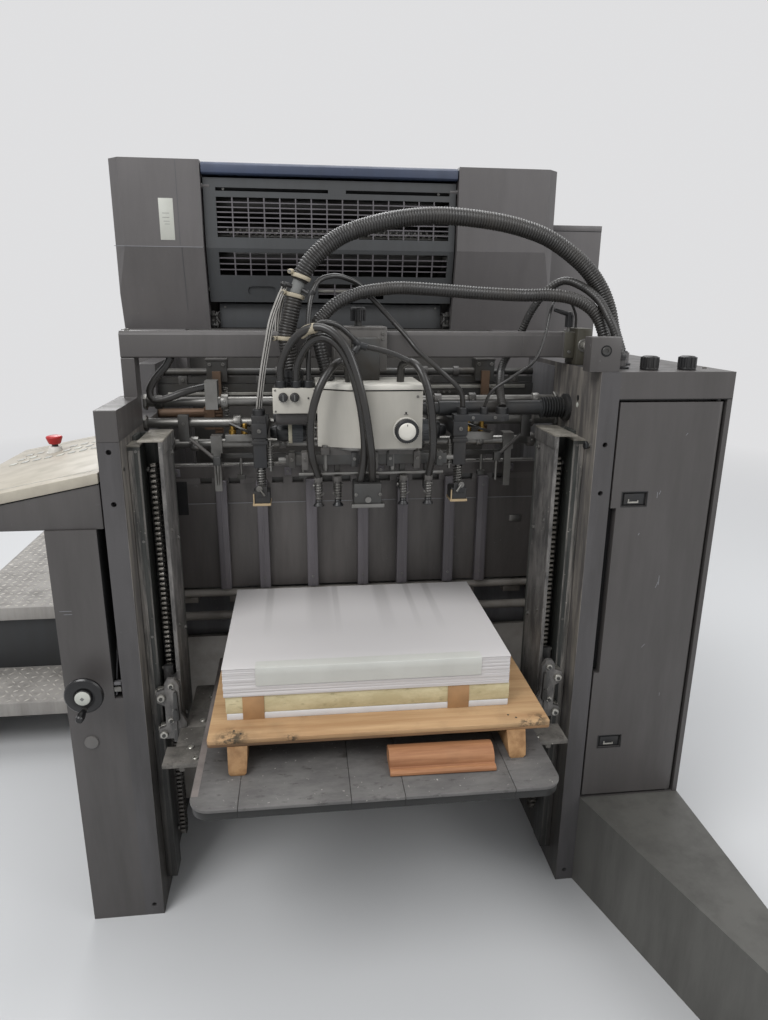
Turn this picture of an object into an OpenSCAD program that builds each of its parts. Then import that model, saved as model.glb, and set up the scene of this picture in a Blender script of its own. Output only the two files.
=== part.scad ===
// Offset printing press seen from its feeder end: pile feeder, one printing tower,
// delivery, operator platform and control cabinets.
// X runs across the machine towards the drive side, Y along the paper travel, Z up.
// The origin lies on the floor under the middle of the printing tower.

/* [Feeder] */
// Clear width between the two feeder side frames
feeder_gap = 1052; // [960:2:1200]
// Thickness of each feeder side frame
frame_t = 47; // [35:1:60]
// Length from the front posts to the front of the tower
feeder_len = 850; // [780:10:1000]
// Height of the right side frame and of the drive side cabinet
frame_h = 1386; // [1340:1:1440]
// How much lower the left side frame is, without its cap
left_step = 144; // [120:1:170]
// Height of the cap block on the left side frame
cap_h = 68; // [40:1:90]
// How much lower the rear part of the right side frame is
rear_step = 86; // [56:1:140]
// Height of the cross beam's section
beam_h = 61; // [40:1:80]
// Depth of the cross beam's section
beam_d = 50; // [30:1:60]
// Distance of the cross beam behind the posts
beam_y = 200; // [195:1:210]

/* [Pile] */
// Height of the top of the pile board as it stands in the picture
board_top = 571; // [540:1:600]
// Thickness of the pile board
board_t = 34; // [24:1:40]
// Width of the pile board
board_w = 766; // [740:2:800]
// Length of the pile board
board_len = 635; // [600:5:640]
// Corner radius of the pile board
board_r = 40; // [20:1:60]
// Width of the pallet deck
pallet_w = 724; // [700:2:740]
// Length of the pallet deck
pallet_len = 535; // [500:5:540]
// Thickness of the pallet deck
pallet_t = 18; // [12:1:22]
// Height of the pallet runners
runner_h = 87; // [70:1:100]
// Width of a pallet runner
runner_w = 49; // [40:1:60]
// Width of the paper sheets
sheet_w = 640; // [500:5:680]
// Length of the paper sheets
sheet_len = 446; // [400:2:450]
// Height of the paper pile
pile_h = 69; // [20:1:160]
// Height of the wrapped layer under the paper pile
layer_h = 27; // [15:1:40]
// How far the pile lift travels down
lift_down = 400; // [300:10:420]
// How far the pile lift travels up
lift_up = 230; // [100:10:240]

/* [Suction head] */
// Width of the suction head housing
head_w = 238; // [200:2:250]
// Depth of the suction head housing
head_d = 170; // [140:2:180]
// Height of the suction head housing
head_h = 146; // [120:2:160]
// How far the underside of the housing lies below the top of the right side frame
head_drop = 178; // [165:1:190]
// Outer radius of the dial on the housing
dial_r = 28; // [20:1:32]
// Radius of the dial's spindle
spindle_r = 8; // [5:0.5:10]
// Radius of the round cross rods that carry the head
rod_r = 12; // [8:1:15]
// Radius of the drive shaft between the head and the right side frame
shaft_r = 18; // [12:1:22]
// Radius of the grooved grip on each shaft coupling
coupling_r = 27; // [20:1:29]

/* [Tower] */
// Width of the printing tower over its covers
tower_w = 1394; // [1340:2:1440]
// Length of the tower covers
tower_len = 1100; // [1000:10:1200]
// Length of the printing unit near the floor
unit_len = 1300; // [1200:10:1400]
// Height of the tower over its covers
tower_h = 1938; // [1850:1:2000]
// Height of the tower covers
cover_h = 495; // [470:1:520]
// How far the fold in the covers lies below their top
fold_drop = 248; // [230:1:270]
// How far the lower edge of the covers leans back
cover_lean = 60; // [0:1:90]
// Chamfer on the outer front corners of the tower covers
cover_chamfer = 34; // [10:1:50]
// Distance of the left cover's inner edge from the middle
cover_in_left = 427; // [400:1:440]
// Distance of the right cover's inner edge from the middle
cover_in_right = 370; // [350:1:400]
// How far the guard's swinging axis lies below the top of the covers
guard_axis_drop = 70; // [60:1:80]
// Height of the guard
guard_h = 380; // [360:1:400]
// Radius of the guard's hinge pins
guard_pin_r = 8; // [6:0.5:10]
// Thickness of the guard sheet
guard_t = 14; // [8:1:20]
// Number of openings in each grille row
guard_cols = 6; // [4:1:8]
// Width of the drive housing beside the unit
housing_w = 214; // [160:2:260]
// Length of the drive housing
housing_len = 900; // [800:10:950]
// Height of the drive housing
housing_h = 1790; // [1650:5:1850]
// Distance of the unit's side panels from the middle, on their inside
unit_half = 500; // [460:5:560]

/* [Cabinets] */
// Width of the drive side cabinet
cabinet_w = 273; // [240:1:300]
// Depth of the drive side cabinet
cabinet_d = 620; // [500:5:700]
// Height of the cabinet's lid
lid_h = 62; // [50:1:80]
// Height of the wedge step
step_h = 265; // [200:1:300]
// Length of the wedge step along its long side
step_len = 800; // [600:10:900]
// Width of the wedge step's narrow front end
step_end_w = 17; // [10:1:60]
// Width of the operator pedestal beside the left frame
pedestal_w = 128; // [100:1:150]
// Length of the operator pedestal
pedestal_len = 600; // [500:10:640]
// Height of the operator pedestal
pedestal_h = 1050; // [1000:1:1100]
// Height of the console at its inner edge
console_rise = 107; // [105:1:120]
// Width of the operator console
console_w = 380; // [340:1:390]
// Length of the operator console
console_len = 650; // [500:5:700]
// Slope of the console top in degrees
console_slope = 11.3; // [5:0.1:11.5]
// Radius of the rim of the handwheel
handwheel_r = 43; // [38:1:55]
// Radius of the handwheel's spindle
handwheel_spindle_r = 9; // [6:0.5:12]

/* [Platform and delivery] */
// Height of the upper deck of the operator platform
deck_h = 450; // [400:5:500]
// Height of the lower tread of the operator platform
tread_h = 200; // [150:5:250]
// Width of the operator platform
deck_w = 700; // [550:5:800]
// Length of the upper deck
deck_len = 1380; // [1200:10:1500]
// Length of the lower tread
tread_len = 266; // [240:2:300]
// Thickness of the folded front edges of deck and tread
nosing_h = 50; // [30:1:60]
// Length of the delivery behind the unit
delivery_len = 1500; // [1400:10:1700]
// Height of the rear end of the delivery
delivery_h = 1150; // [1100:5:1200]
// Length of the sloping part of the delivery hood
hood_len = 900; // [800:10:950]
// Thickness of the delivery hood
hood_t = 70; // [50:1:90]
// Height of the delivered pile
delivered_h = 310; // [100:5:400]

/* [Hidden] */

$fn = 48;
// Running clearance of spindles and hinge pins in their bores, on the radius
pin_gap = 0.1;
// Clearance between a turning face and the face behind it
face_gap = 0.3;
// Clearance between moving sheet metal and its neighbours
move_gap = 5;
tower_front = -unit_len / 2;
post_front = tower_front - feeder_len;
frame_in = feeder_gap / 2;
frame_out = frame_in + frame_t;
tower_out = tower_w / 2;
unit_rear = unit_len / 2;
left_frame_h = frame_h - left_step;
right_rear_h = frame_h - rear_step;
fold_h = tower_h - fold_drop;
cover_bottom = tower_h - cover_h;

module block(x0, x1, y0, y1, z0, z1) {
    translate([x0, y0, z0]) cube([x1 - x0, y1 - y0, z1 - z0]);
}
// Places what follows in the feeder's frame, which starts at the front of the posts
module feeder() {
    translate([0, post_front, 0]) children();
}
// Places what follows in the tower's frame, which starts at its front face
module tower() {
    translate([0, tower_front, 0]) children();
}
// Extrudes an outline of [y, z] points from x0 to x1
module side_profile(x0, x1, outline) {
    translate([x0, 0, 0]) rotate([90, 0, 90]) linear_extrude(x1 - x0) polygon(outline);
}
// A round bar along X from x0 to x1
module bar_x(x0, x1, y, z, r) {
    translate([x0, y, z]) rotate([0, 90, 0]) cylinder(r = r, h = x1 - x0);
}
// A round bar along Y from y0 to y1
module bar_y(x, y0, y1, z, r) {
    translate([x, y0, z]) rotate([-90, 0, 0]) cylinder(r = r, h = y1 - y0);
}

// Feeder frames
post_hole_r = 6;
post_hole_depth = 20;
post_holes = [left_frame_h - 21, left_frame_h - 136, 31];

module post_bores(x) {
    for (z = post_holes) bar_y(x, -1, post_hole_depth, z, post_hole_r);
}
left_rear_y = 430;
left_rear_h = frame_h - 18;
module frame_left() {
    color("#4c5052") feeder() difference() {
        side_profile(-frame_out, -frame_in, [[0, 0], [feeder_len, 0], [feeder_len, left_rear_h],
            [left_rear_y + 20, left_rear_h], [left_rear_y, left_frame_h], [0, left_frame_h]]);
        post_bores(-frame_in - frame_t / 2);
    }
}
cap_len = 250;
// The cap block with the leg that carries the cross beam's left end
module left_cap() {
    color("#55595b") feeder() {
        block(-frame_out, -frame_in, 0, cap_len, left_frame_h, left_frame_h + cap_h);
        block(beam_leg_x, beam_leg_x + beam_leg_w, beam_y, beam_y + beam_d, left_frame_h + cap_h, beam_z);
    }
}
right_high_len = 520;
module frame_right() {
    color("#4c5052") feeder() difference() {
        side_profile(frame_in, frame_out, [[0, 0], [feeder_len, 0], [feeder_len, right_rear_h],
            [right_high_len + 20, right_rear_h], [right_high_len, frame_h], [0, frame_h]]);
        post_bores(frame_in + frame_t / 2);
    }
}
right_cap_w = 70;
right_cap_d = 41;
right_cap_h = 76;
pivot_pin_r = 10;
// The square block on the right post and the block that holds the beam's right end with its pin
module right_cap() {
    color("#5a5e60") feeder() {
        difference() {
            block(frame_out - 6 - right_cap_w, frame_out - 6, 0, right_cap_d, frame_h, frame_h + right_cap_h);
            bar_y(frame_in + 5, -1, 10, frame_h + 46, 8);
        }
        block(beam_end, frame_out, beam_y - 15, beam_y + beam_d + 10, frame_h, beam_z + beam_h + 10);
        bar_y((beam_end + frame_out) / 2, beam_y - 35, beam_y - 15, beam_z + beam_h / 2, pivot_pin_r);
    }
}

// Cross beam over the pile
beam_z = frame_h + 17;
beam_leg_w = 31;
beam_leg_x = -frame_in - 28;
beam_end = frame_in + 9;
module cross_beam() {
    color("#4e5254") feeder() block(beam_leg_x, beam_end, beam_y, beam_y + beam_d, beam_z, beam_z + beam_h);
}

lever_x = beam_end - 15;
lever_y = beam_y + 8;
lever_stud = 12;
lever_hub_h = 36;
// The clamping lever on the beam's right end: a stud, a hub and a handle that rises to the left
module clamp_lever() {
    color("#1d1e20") feeder() translate([lever_x, lever_y, beam_z + beam_h]) {
        cylinder(r = 5, h = lever_stud + 1);
        translate([0, 0, lever_stud]) cylinder(r = 10, h = lever_hub_h);
        translate([0, 0, lever_stud + lever_hub_h - 6]) rotate([0, -74, 0]) {
            cylinder(r = 5.5, h = 42);
            translate([0, 0, 42]) sphere(r = 5.5);
        }
    }
}

// Lift columns, chains and carriages
column_depth = 45;
column_front = 60;
column_back = 180;
flange_t = 15;
column_bottom = 60;
column_top = left_frame_h - 7;
chain_y = (column_front + column_back) / 2;
chain_w = 16;
chain_plate_t = 2;
chain_mid = frame_in - 31;
chain_low = 100;
chain_pitch = 15.875;
chain_roller_r = 5;
chain_runs = floor((column_top - 45 - chain_low) / chain_pitch);
chain_high = chain_low + chain_runs * chain_pitch;
// Links that lie round half a sprocket
sprocket_links = 3;
chain_r = sprocket_links * chain_pitch / PI;
chain_links = 2 * (chain_runs + sprocket_links);
chain_roller_w = chain_w - 2 * chain_plate_t;
sprocket_r = chain_r - chain_roller_r - 0.15;

// A channel on the inner face of a side frame, drawn for the right side
module lift_column() {
    feeder() {
        block(frame_in - 8, frame_in, column_front, column_back, column_bottom, column_top);
        block(frame_in - column_depth, frame_in - 8, column_front, column_front + flange_t,
            column_bottom, column_top - 15);
        block(frame_in - column_depth, frame_in - 8, column_back - flange_t, column_back,
            column_bottom, column_top);
        for (z = [chain_low, chain_high]) {
            bar_x(chain_mid - chain_w / 2 - 4, frame_in - 8, chain_y, z, sprocket_r - 1);
            bar_x(chain_mid - chain_roller_w / 2, chain_mid + chain_roller_w / 2, chain_y, z, sprocket_r);
        }
    }
}
module lift_columns() {
    color("#4a4d4f") for (side = [0, 1]) mirror([side, 0, 0]) lift_column();
}
// The chain is one fixed loop. Its places are counted in links from the foot of the front run:
// up the front, round the upper sprocket, down the back and round the lower one.
// The way out of the loop at such a place
function chain_out(k) =
    k < chain_runs ? [-1, 0] :
    k < chain_runs + sprocket_links ?
        let (a = 180 - (k - chain_runs) * 180 / sprocket_links) [cos(a), sin(a)] :
    k < 2 * chain_runs + sprocket_links ? [1, 0] :
    let (a = -(k - 2 * chain_runs - sprocket_links) * 180 / sprocket_links) [cos(a), sin(a)];
// The place itself, as its distance from the sprockets' plane along Y and its height
function chain_at(k) =
    k < chain_runs ? [-chain_r, chain_low + k * chain_pitch] :
    k < chain_runs + sprocket_links ? [0, chain_high] + chain_r * chain_out(k) :
    k < 2 * chain_runs + sprocket_links ?
        [chain_r, chain_high - (k - chain_runs - sprocket_links) * chain_pitch] :
    [0, chain_low] + chain_r * chain_out(k);
// An edge of the link plates that bulges at each roller and draws in between two
function chain_edge(bulge, waist) = [for (k = [0:chain_links - 1])
    each [chain_at(k) + bulge * chain_out(k), chain_at(k + 0.5) + waist * chain_out(k + 0.5)]];
module lift_chain() {
    feeder() translate([chain_mid, chain_y, 0]) {
        for (x = [-chain_w / 2, chain_w / 2 - chain_plate_t]) translate([x, 0, 0]) rotate([90, 0, 90])
            linear_extrude(chain_plate_t) difference() {
                polygon(chain_edge(6.5, 4.5));
                polygon(chain_edge(-5.5, -4));
            }
        for (k = [0:chain_links - 1])
            bar_x(-chain_roller_w / 2, chain_roller_w / 2, chain_at(k)[0], chain_at(k)[1], chain_roller_r);
    }
}
module lift_chains() {
    color("#26282a") for (side = [0, 1]) mirror([side, 0, 0]) lift_chain();
}
board_bottom = board_top - board_t;
rail_t = 22;
carriage_x = frame_in - column_depth - move_gap;
carriage_t = 12;
roller_r = 14;
// A plate with two guide rollers and a rail under the board, drawn for the right side
module carriage() {
    feeder() {
        translate([0, 0, board_bottom]) side_profile(carriage_x - carriage_t, carriage_x,
            [[25, -60], [205, -60], [205, 30], [130, 80], [80, 135], [40, 135], [25, 110]]);
        for (z = [board_bottom - 18, board_bottom + 77])
            bar_x(carriage_x, carriage_x + 26, column_front - face_gap - roller_r, z, roller_r);
        block(board_w / 2 - 45, carriage_x - carriage_t, -60, 280, board_bottom - rail_t, board_bottom);
    }
}
module carriages() {
    color("#5d5f5f") for (side = [0, 1]) mirror([side, 0, 0]) carriage();
}

// The pile and what it stands on
stop_y = 335;
stop_bar_d = 20;
stop_face = stop_y - stop_bar_d;
board_front = stop_face - 15 - board_len;
module pile_board() {
    color("#484c4f") feeder() translate([0, board_front, board_bottom]) linear_extrude(board_t) union() {
        for (x = [board_r - board_w / 2, board_w / 2 - board_r]) translate([x, board_r]) circle(r = board_r);
        translate([board_r - board_w / 2, 0]) square([board_w - 2 * board_r, board_r]);
        translate([-board_w / 2, board_r]) square([board_w, board_len - board_r]);
    }
}
pallet_front = stop_face - 20 - pallet_len;
pallet_x = 11;
pallet_r = 22;
runner_inset = 24;
module pallet() {
    color("#b98a5c") feeder() translate([pallet_x, pallet_front, board_top]) {
        for (x = [runner_inset - pallet_w / 2, pallet_w / 2 - runner_inset - runner_w])
            block(x, x + runner_w, 10, pallet_len - 10, 0, runner_h);
        translate([0, 0, runner_h]) linear_extrude(pallet_t) union() {
            for (x = [pallet_r - pallet_w / 2, pallet_w / 2 - pallet_r])
                for (y = [pallet_r, pallet_len - pallet_r]) translate([x, y]) circle(r = pallet_r);
            translate([pallet_r - pallet_w / 2, 0]) square([pallet_w - 2 * pallet_r, pallet_len]);
            translate([-pallet_w / 2, pallet_r]) square([pallet_w, pallet_len - 2 * pallet_r]);
        }
    }
}
pile_front = stop_face - 9 - sheet_len;
pile_x = -6;
layer_bottom = board_top + runner_h + pallet_t;
module pile_layer() {
    color("#d9cfa6") feeder()
    block(pile_x - sheet_w / 2 + 4, pile_x + sheet_w / 2 - 4, pile_front + 4, pile_front + sheet_len - 4,
        layer_bottom, layer_bottom + layer_h);
}
module paper_pile() {
    color("#dedee2") feeder()
    block(pile_x - sheet_w / 2, pile_x + sheet_w / 2, pile_front, pile_front + sheet_len,
        layer_bottom + layer_h, layer_bottom + layer_h + pile_h);
}
wood_len = 225;
module wood_piece() {
    color("#9a6238") feeder() translate([142, pallet_front + 8, board_top]) rotate([0, 0, 4])
    rotate([90, 0, 90]) translate([0, 0, -wood_len / 2]) linear_extrude(wood_len)
    polygon([[-34, 0], [40, 0], [40, 30], [10, 44], [-10, 44], [-34, 26]]);
}

// Front stop plate behind the pile with its upright bars and a row of air slots
stop_bottom = 770;
stop_top = frame_h - 274;
stop_bar_top = stop_top - 37;
stop_bar_xs = [-356, -250, -119, 20, 129, 260, 352];
stop_bar_w = 29;
stop_slot_xs = [-396, -322, -208, -154, -76, -27, 80, 172, 216, 310, 396];
stop_slot_w = 30;
stop_slot_z = stop_top - 48;
module front_stop() {
    color("#44484a") feeder() difference() {
        union() {
            block(-frame_in, frame_in, stop_y, stop_y + 10, stop_bottom, stop_top);
            for (x = stop_bar_xs)
                block(x - stop_bar_w / 2, x + stop_bar_w / 2, stop_face, stop_y, stop_bottom, stop_bar_top);
        }
        for (x = stop_slot_xs)
            block(x - stop_slot_w / 2, x + stop_slot_w / 2, stop_y - 1, stop_y + 11,
                stop_slot_z, stop_slot_z + 16);
    }
}
// Round ties between the side frames and the plate across the feeder's foot
tie_places = [[352, 748], [352, 678]];
foot_plate_y = 400;
foot_plate_h = 590;
module tie_rods() {
    color("#6a6c6c") feeder() {
        for (p = tie_places) bar_x(-frame_in, frame_in, p[0], p[1], rod_r);
        block(-frame_in, frame_in, foot_plate_y, foot_plate_y + 12, 40, foot_plate_h);
        bar_x(-frame_in, frame_in, 700, 160, 2 * rod_r);
    }
}
feed_top = frame_h - 304;
feed_drop = 160;
feed_t = 22;
module feed_board() {
    color("#5a5d5e") feeder() side_profile(-frame_in, frame_in, [[stop_y + 15, feed_top - feed_t],
        [feeder_len, feed_top - feed_drop - feed_t], [feeder_len, feed_top - feed_drop],
        [stop_y + 15, feed_top]]);
}

// Suction head
head_z = frame_h - head_drop;
head_front = 60;
head_left = -104;
head_right = head_left + head_w;
head_back = head_front + head_d;
hanger_half = 66;
hanger_top = beam_z + beam_h + 12;
module head_hanger() {
    color("#6b6e6f") feeder() {
        difference() {
            block(-hanger_half, hanger_half, beam_y - 15, beam_y + beam_d + 15, beam_z - 28, hanger_top);
            block(-hanger_half - 1, hanger_half + 1, beam_y, beam_y + beam_d, beam_z, beam_z + beam_h);
        }
        block(-20, 45, beam_y - 50, beam_y - 15, head_z + head_h, beam_z + 50);
        translate([0, beam_y + beam_d / 2, hanger_top]) cylinder(r = 9, h = 14);
        translate([0, beam_y + beam_d / 2, hanger_top + 10]) cylinder(r = 19, h = 34);
    }
}
dial_x = 96;
dial_z = head_z + 43;
dial_depth = 25;
module head_housing() {
    color("#bdb9b0") feeder() difference() {
        translate([0, 0, head_z]) linear_extrude(head_h)
            polygon([[head_left, head_front + 40], [-20, head_front], [head_right, head_front],
                [head_right, head_back], [head_left, head_back]]);
        bar_y(dial_x, head_front - 1, head_front + 30, dial_z, spindle_r + pin_gap);
    }
}
module head_dial() {
    color("#1d1e20") feeder() {
        bar_y(dial_x, head_front - dial_depth, head_front - face_gap, dial_z, dial_r);
        bar_y(dial_x, head_front - face_gap, head_front + 28, dial_z, spindle_r);
    }
}
valve_left = -205;
valve_top = head_z + 135;
valve_bottom = head_z + 77;
module valve_box() {
    color("#a9a59c") feeder() {
        block(valve_left, head_left, 100, 190, valve_bottom, valve_top);
        translate([-160, 160, valve_top]) cylinder(r = 27, h = 37);
        for (x = [-178, -152]) bar_y(x, 88, 100, valve_top - 25, 8);
    }
}
shaft_y = head_back - 37;
shaft_z = head_z + 73;
bellows_len = 60;
bellows_waves = 6;
shaft_flange_t = 12;
// The drive shaft from the housing to the right side frame, with rubber bellows and a flange
module head_shaft() {
    reach = frame_in - head_right;
    soft = reach - shaft_flange_t - bellows_len;
    step = bellows_len / bellows_waves;
    wave = [for (i = [0:bellows_waves - 1]) each [[shaft_r + 2, soft + i * step], [shaft_r + 9, soft + (i + 0.5) * step]]];
    outline = concat([[0, 0], [shaft_r, 0], [shaft_r, soft]], wave, [[shaft_r + 2, reach - shaft_flange_t],
        [shaft_r + 16, reach - shaft_flange_t], [shaft_r + 16, reach], [0, reach]]);
    color("#2c2d2e") feeder() translate([head_right, shaft_y, shaft_z]) rotate([0, 90, 0])
        rotate_extrude() polygon(outline);
}
coupling_y = head_back - 30;
coupling_z = head_z + 18;
coupling_grip = 26;
coupling_band = 9;
coupling_plug = 16;
// One shaft coupling: a neck on the housing, a grooved grip, a band, a ring and a plug
module coupling(side, reach, ring_w) {
    neck = reach - coupling_grip - coupling_band - ring_w - coupling_plug;
    band = neck + coupling_grip;
    ring_start = band + coupling_band;
    plug = ring_start + ring_w;
    outline = [[0, 0], [10, 0], [10, neck], [coupling_r, neck], [coupling_r, band], [coupling_r + 2, band],
        [coupling_r + 2, ring_start], [coupling_r - 3, ring_start], [coupling_r - 3, plug], [16, plug],
        [13, reach], [0, reach]];
    rotate([0, side * 90, 0]) rotate_extrude() polygon(outline);
}
module shaft_couplings() {
    color("#6d6e6d") feeder() {
        translate([head_left, coupling_y, coupling_z]) coupling(-1, head_left + coupling_end, 28);
        translate([head_right, coupling_y, coupling_z]) coupling(1, coupling_end - head_right, 12);
    }
}
rod_places = [[265, head_z + 32], [300, head_z - 28], [280, head_z + 82]];
side_port_x = -360;
side_port_z = rod_places[2][1] + 38;
guide_xs = [-357, 405];
guide_bottom = head_z - 150;
// Cross rods, the bracket behind the housing, the left hose's port and the two hanging side guides
module head_rods() {
    color("#7b7d7c") feeder() {
        for (p = rod_places) bar_x(-frame_in, frame_in, p[0], p[1], rod_r);
        difference() {
            block(side_port_x - 15, side_port_x + 15, 255, 295, side_port_z - 55, side_port_z + 15);
            bar_x(side_port_x - 16, side_port_x + 16, rod_places[2][0], rod_places[2][1], rod_r);
        }
        for (x = guide_xs) {
            difference() {
                block(x - 14, x + 14, rod_places[1][0] - 20, rod_places[1][0] + 14,
                    rod_places[1][1] - 22, rod_places[1][1] + 22);
                bar_x(x - 15, x + 15, rod_places[1][0], rod_places[1][1], rod_r);
            }
            block(x - 9, x + 9, rod_places[1][0] - 20, rod_places[1][0] - 12,
                guide_bottom, rod_places[1][1] - 22);
        }
        difference() {
            block(-60, 90, head_back, 320, head_z - 58, head_z + 102);
            for (p = rod_places) bar_x(-61, 91, p[0], p[1], rod_r);
        }
    }
}
// Rails across the feeder behind the head: a round rod, a flat bar and a channel
rails_y = 480;
rail_rod_r = 10;
rail_clamp_xs = [-366, 379];
rail_clamp_front = 22;
module cross_rails() {
    color("#3c3e40") feeder() {
        bar_x(-frame_in, frame_in, rails_y + 5, head_z + 136, rail_rod_r);
        block(-frame_in, frame_in, rails_y, rails_y + 14, head_z + 106, head_z + 122);
        block(-frame_in, frame_in, rails_y - 10, rails_y + 30, head_z + 70, head_z + 104);
        for (x = rail_clamp_xs)
            block(x - 27, x + 27, rails_y - rail_clamp_front, rails_y + 32, head_z + 112, head_z + 172);
    }
}
rack_w = 22;
rack_t = 12;
rack_bottom = head_z - 28;
rack_top = head_z + 140;
rack_pitch = 9;
rack_shaft_z = head_z + 29;
// Toothed height racks on the front of the rail clamps, and the geared shaft from the left frame
module side_racks() {
    front = rails_y - rail_clamp_front - rack_t;
    color("#5b4a3c") feeder() {
        for (x = rail_clamp_xs) {
            block(x - rack_w / 2, x + rack_w / 2, front, front + rack_t, rack_bottom, rack_top);
            for (k = [0:9]) block(x - rack_w / 2 + 3, x + rack_w / 2 - 3, front - 5, front + 1,
                rack_bottom + 4 + k * rack_pitch, rack_bottom + 8 + k * rack_pitch);
        }
        case_right = rail_clamp_xs[0] - rack_w / 2 + 1;
        block(case_right - 28, case_right, front - 6, front + rack_t, rack_bottom + 12, rack_shaft_z + 16);
        bar_x(-frame_in, case_right - 20, front + 5, rack_shaft_z, 12);
        bar_x(case_right - 90, case_right - 20, front + 3, rack_shaft_z - 30, 9);
    }
}
// Sucker nozzles under the housing
nozzle_xs = [-105, -60, 95, 155];
foot_top = head_z - 78;
nozzle_top = head_z - 68;
module nozzles() {
    color("#3a3c3d") feeder() {
        block(-180, 200, 90, 115, head_z - 43, head_z - 18);
        block(-90, 120, 90, 115, head_z - 18, head_z);
        for (x = nozzle_xs) {
            translate([x, 80, nozzle_top - 58]) cylinder(r = 9, h = 58);
            translate([x, 80, nozzle_top - 70]) cylinder(r = 13, h = 12);
            block(x - 7, x + 7, 80, 115, nozzle_top - 40, nozzle_top - 15);
            block(x - 7, x + 7, 98, 115, nozzle_top - 15, head_z - 43);
        }
        block(-25, 40, 45, 100, foot_top - 55, foot_top);
        block(-5, 20, 90, 110, foot_top - 10, head_z - 38);
    }
}
blower_x = 240;
blower_half = 18;
coupling_end = blower_x - blower_half - move_gap;
clamp_bottom = rod_places[0][1] - 18;
clamp_top = rod_places[0][1] + 18;
// One side blower: a clamp on the front rod, a spring guide and a nozzle block
module blower(x) {
    feeder() {
        difference() {
            block(x - blower_half, x + blower_half, 130, 285, clamp_bottom, clamp_top);
            bar_x(x - blower_half - 1, x + blower_half + 1, rod_places[0][0], rod_places[0][1], rod_r);
        }
        block(x - blower_half, x + blower_half, 130, 165, clamp_bottom - 72, clamp_bottom);
        translate([x, 147, clamp_bottom - 127]) cylinder(r = 12, h = 55);
        block(x - 20, x + 20, 125, 170, clamp_bottom - 162, clamp_bottom - 127);
    }
}
port_top = clamp_top + 32;
module side_blowers() {
    color("#333537") {
        blower(-blower_x);
        feeder() block(-blower_x - blower_half, -blower_x + blower_half, 130, 165, clamp_top, port_top);
        blower(blower_x);
        feeder() block(blower_x - blower_half, 360, 130, 165, clamp_top, port_top);
    }
}

// Hoses and cables, each swept along its own route in the feeder's frame
function unit(v) = v / norm(v);
// A route turns evenly at the points between its ends, which stand square on their seats
function heading(p, i) = unit(unit(p[i] - p[i - 1]) + unit(p[i + 1] - p[i]));
function ring(c, t, r, sides, ref) =
    let (s = unit(cross(t, ref)), b = cross(t, s))
    [for (k = [0:sides - 1]) c + r * (cos(360 * k / sides) * s + sin(360 * k / sides) * b)];
module tube(route, r, sides = 8, ref = [0, 1, 0], start = [0, 0, 1], end = [0, 0, -1]) {
    n = len(route);
    points = [for (i = [0:n - 1])
        each ring(route[i], i == 0 ? start : i == n - 1 ? end : heading(route, i), r, sides, ref)];
    walls = [for (i = [0:n - 2]) for (k = [0:sides - 1])
        [i * sides + k, (i + 1) * sides + k, (i + 1) * sides + (k + 1) % sides, i * sides + (k + 1) % sides]];
    first = [[for (k = [0:sides - 1]) k]];
    last = [[for (k = [sides - 1:-1:0]) (n - 1) * sides + k]];
    feeder() polyhedron(points, concat(walls, first, last));
}
gland_h = 30;
gland_top = frame_h + gland_h;
gland_large = [frame_out + 77, 200];
gland_medium = [frame_out + 27, 145];
gland_small = [frame_out + 35, 92];
hose_large_r = 20;
hose_medium_r = 15;
hose_small_r = 10;
hose_foot_r = 9;
cable_r = 6;
cable_thin_r = 3.5;
hose_large_route = [[-160, 160, valve_top + 37], [-160, 160, 1455], [-145, 170, 1555], [-105, 180, 1625],
    [-20, 190, 1685], [85, 200, 1720], [190, 200, 1730], [305, 200, 1720], [430, 200, 1675],
    [525, 200, 1605], [590, 200, 1530], [638, 200, 1465], [gland_large[0], gland_large[1], gland_top]];
hose_medium_route = [[-75, 150, head_z + head_h], [-78, 155, 1430], [-75, 165, 1490], [-40, 175, 1530],
    [15, 180, 1550], [95, 190, 1560], [240, 190, 1562], [390, 185, 1560], [490, 170, 1555],
    [550, 150, 1525], [590, 145, 1470], [gland_medium[0], gland_medium[1], gland_top]];
hose_small_route = [[345, 147, port_top], [348, 148, 1380], [375, 145, 1460], [425, 138, 1555],
    [475, 132, 1594], [530, 130, 1578], [578, 110, 1520], [602, 98, 1465], [gland_small[0], gland_small[1], gland_top]];
hose_foot_left_route = [[-150, 112, valve_top], [-147, 108, 1395], [-118, 80, 1450], [-80, 50, 1458],
    [-50, 30, 1412], [-30, 10, 1320], [-14, 20, 1210], [-8, 65, foot_top]];
hose_foot_right_route = [[-186, 112, valve_top], [-182, 108, 1400], [-145, 80, 1475], [-90, 50, 1492],
    [-40, 30, 1445], [-8, 10, 1335], [12, 20, 1215], [20, 65, foot_top]];
hose_sucker_left_route = [[-30, 120, head_z + head_h], [-36, 108, 1395], [-62, 68, 1400], [-98, 40, 1355],
    [-120, 36, 1280], [-120, 45, 1200], [-105, 80, nozzle_top]];
hose_sucker_right_route = [[90, 120, head_z + head_h], [93, 108, 1395], [118, 68, 1398], [140, 40, 1350],
    [152, 35, 1280], [158, 48, 1200], [155, 80, nozzle_top]];
cable_head_route = [[-122, 112, valve_top], [-122, 114, 1410], [-118, 125, 1500], [-92, 150, 1560],
    [-45, 150, 1588], [20, 140, 1562], [100, 130, 1480], [190, 130, 1390], [240, 140, 1335],
    [247, 147, port_top]];
cable_blower_route = [[-240, 147, port_top], [-243, 135, 1390], [-240, 130, 1455], [-226, 135, 1520],
    [-204, 148, 1578], [-186, 172, 1603], [-180, 200, 1592], [-186, 218, 1545], [-192, 225, 1500],
    [-193, 225, beam_z + beam_h]];
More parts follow.
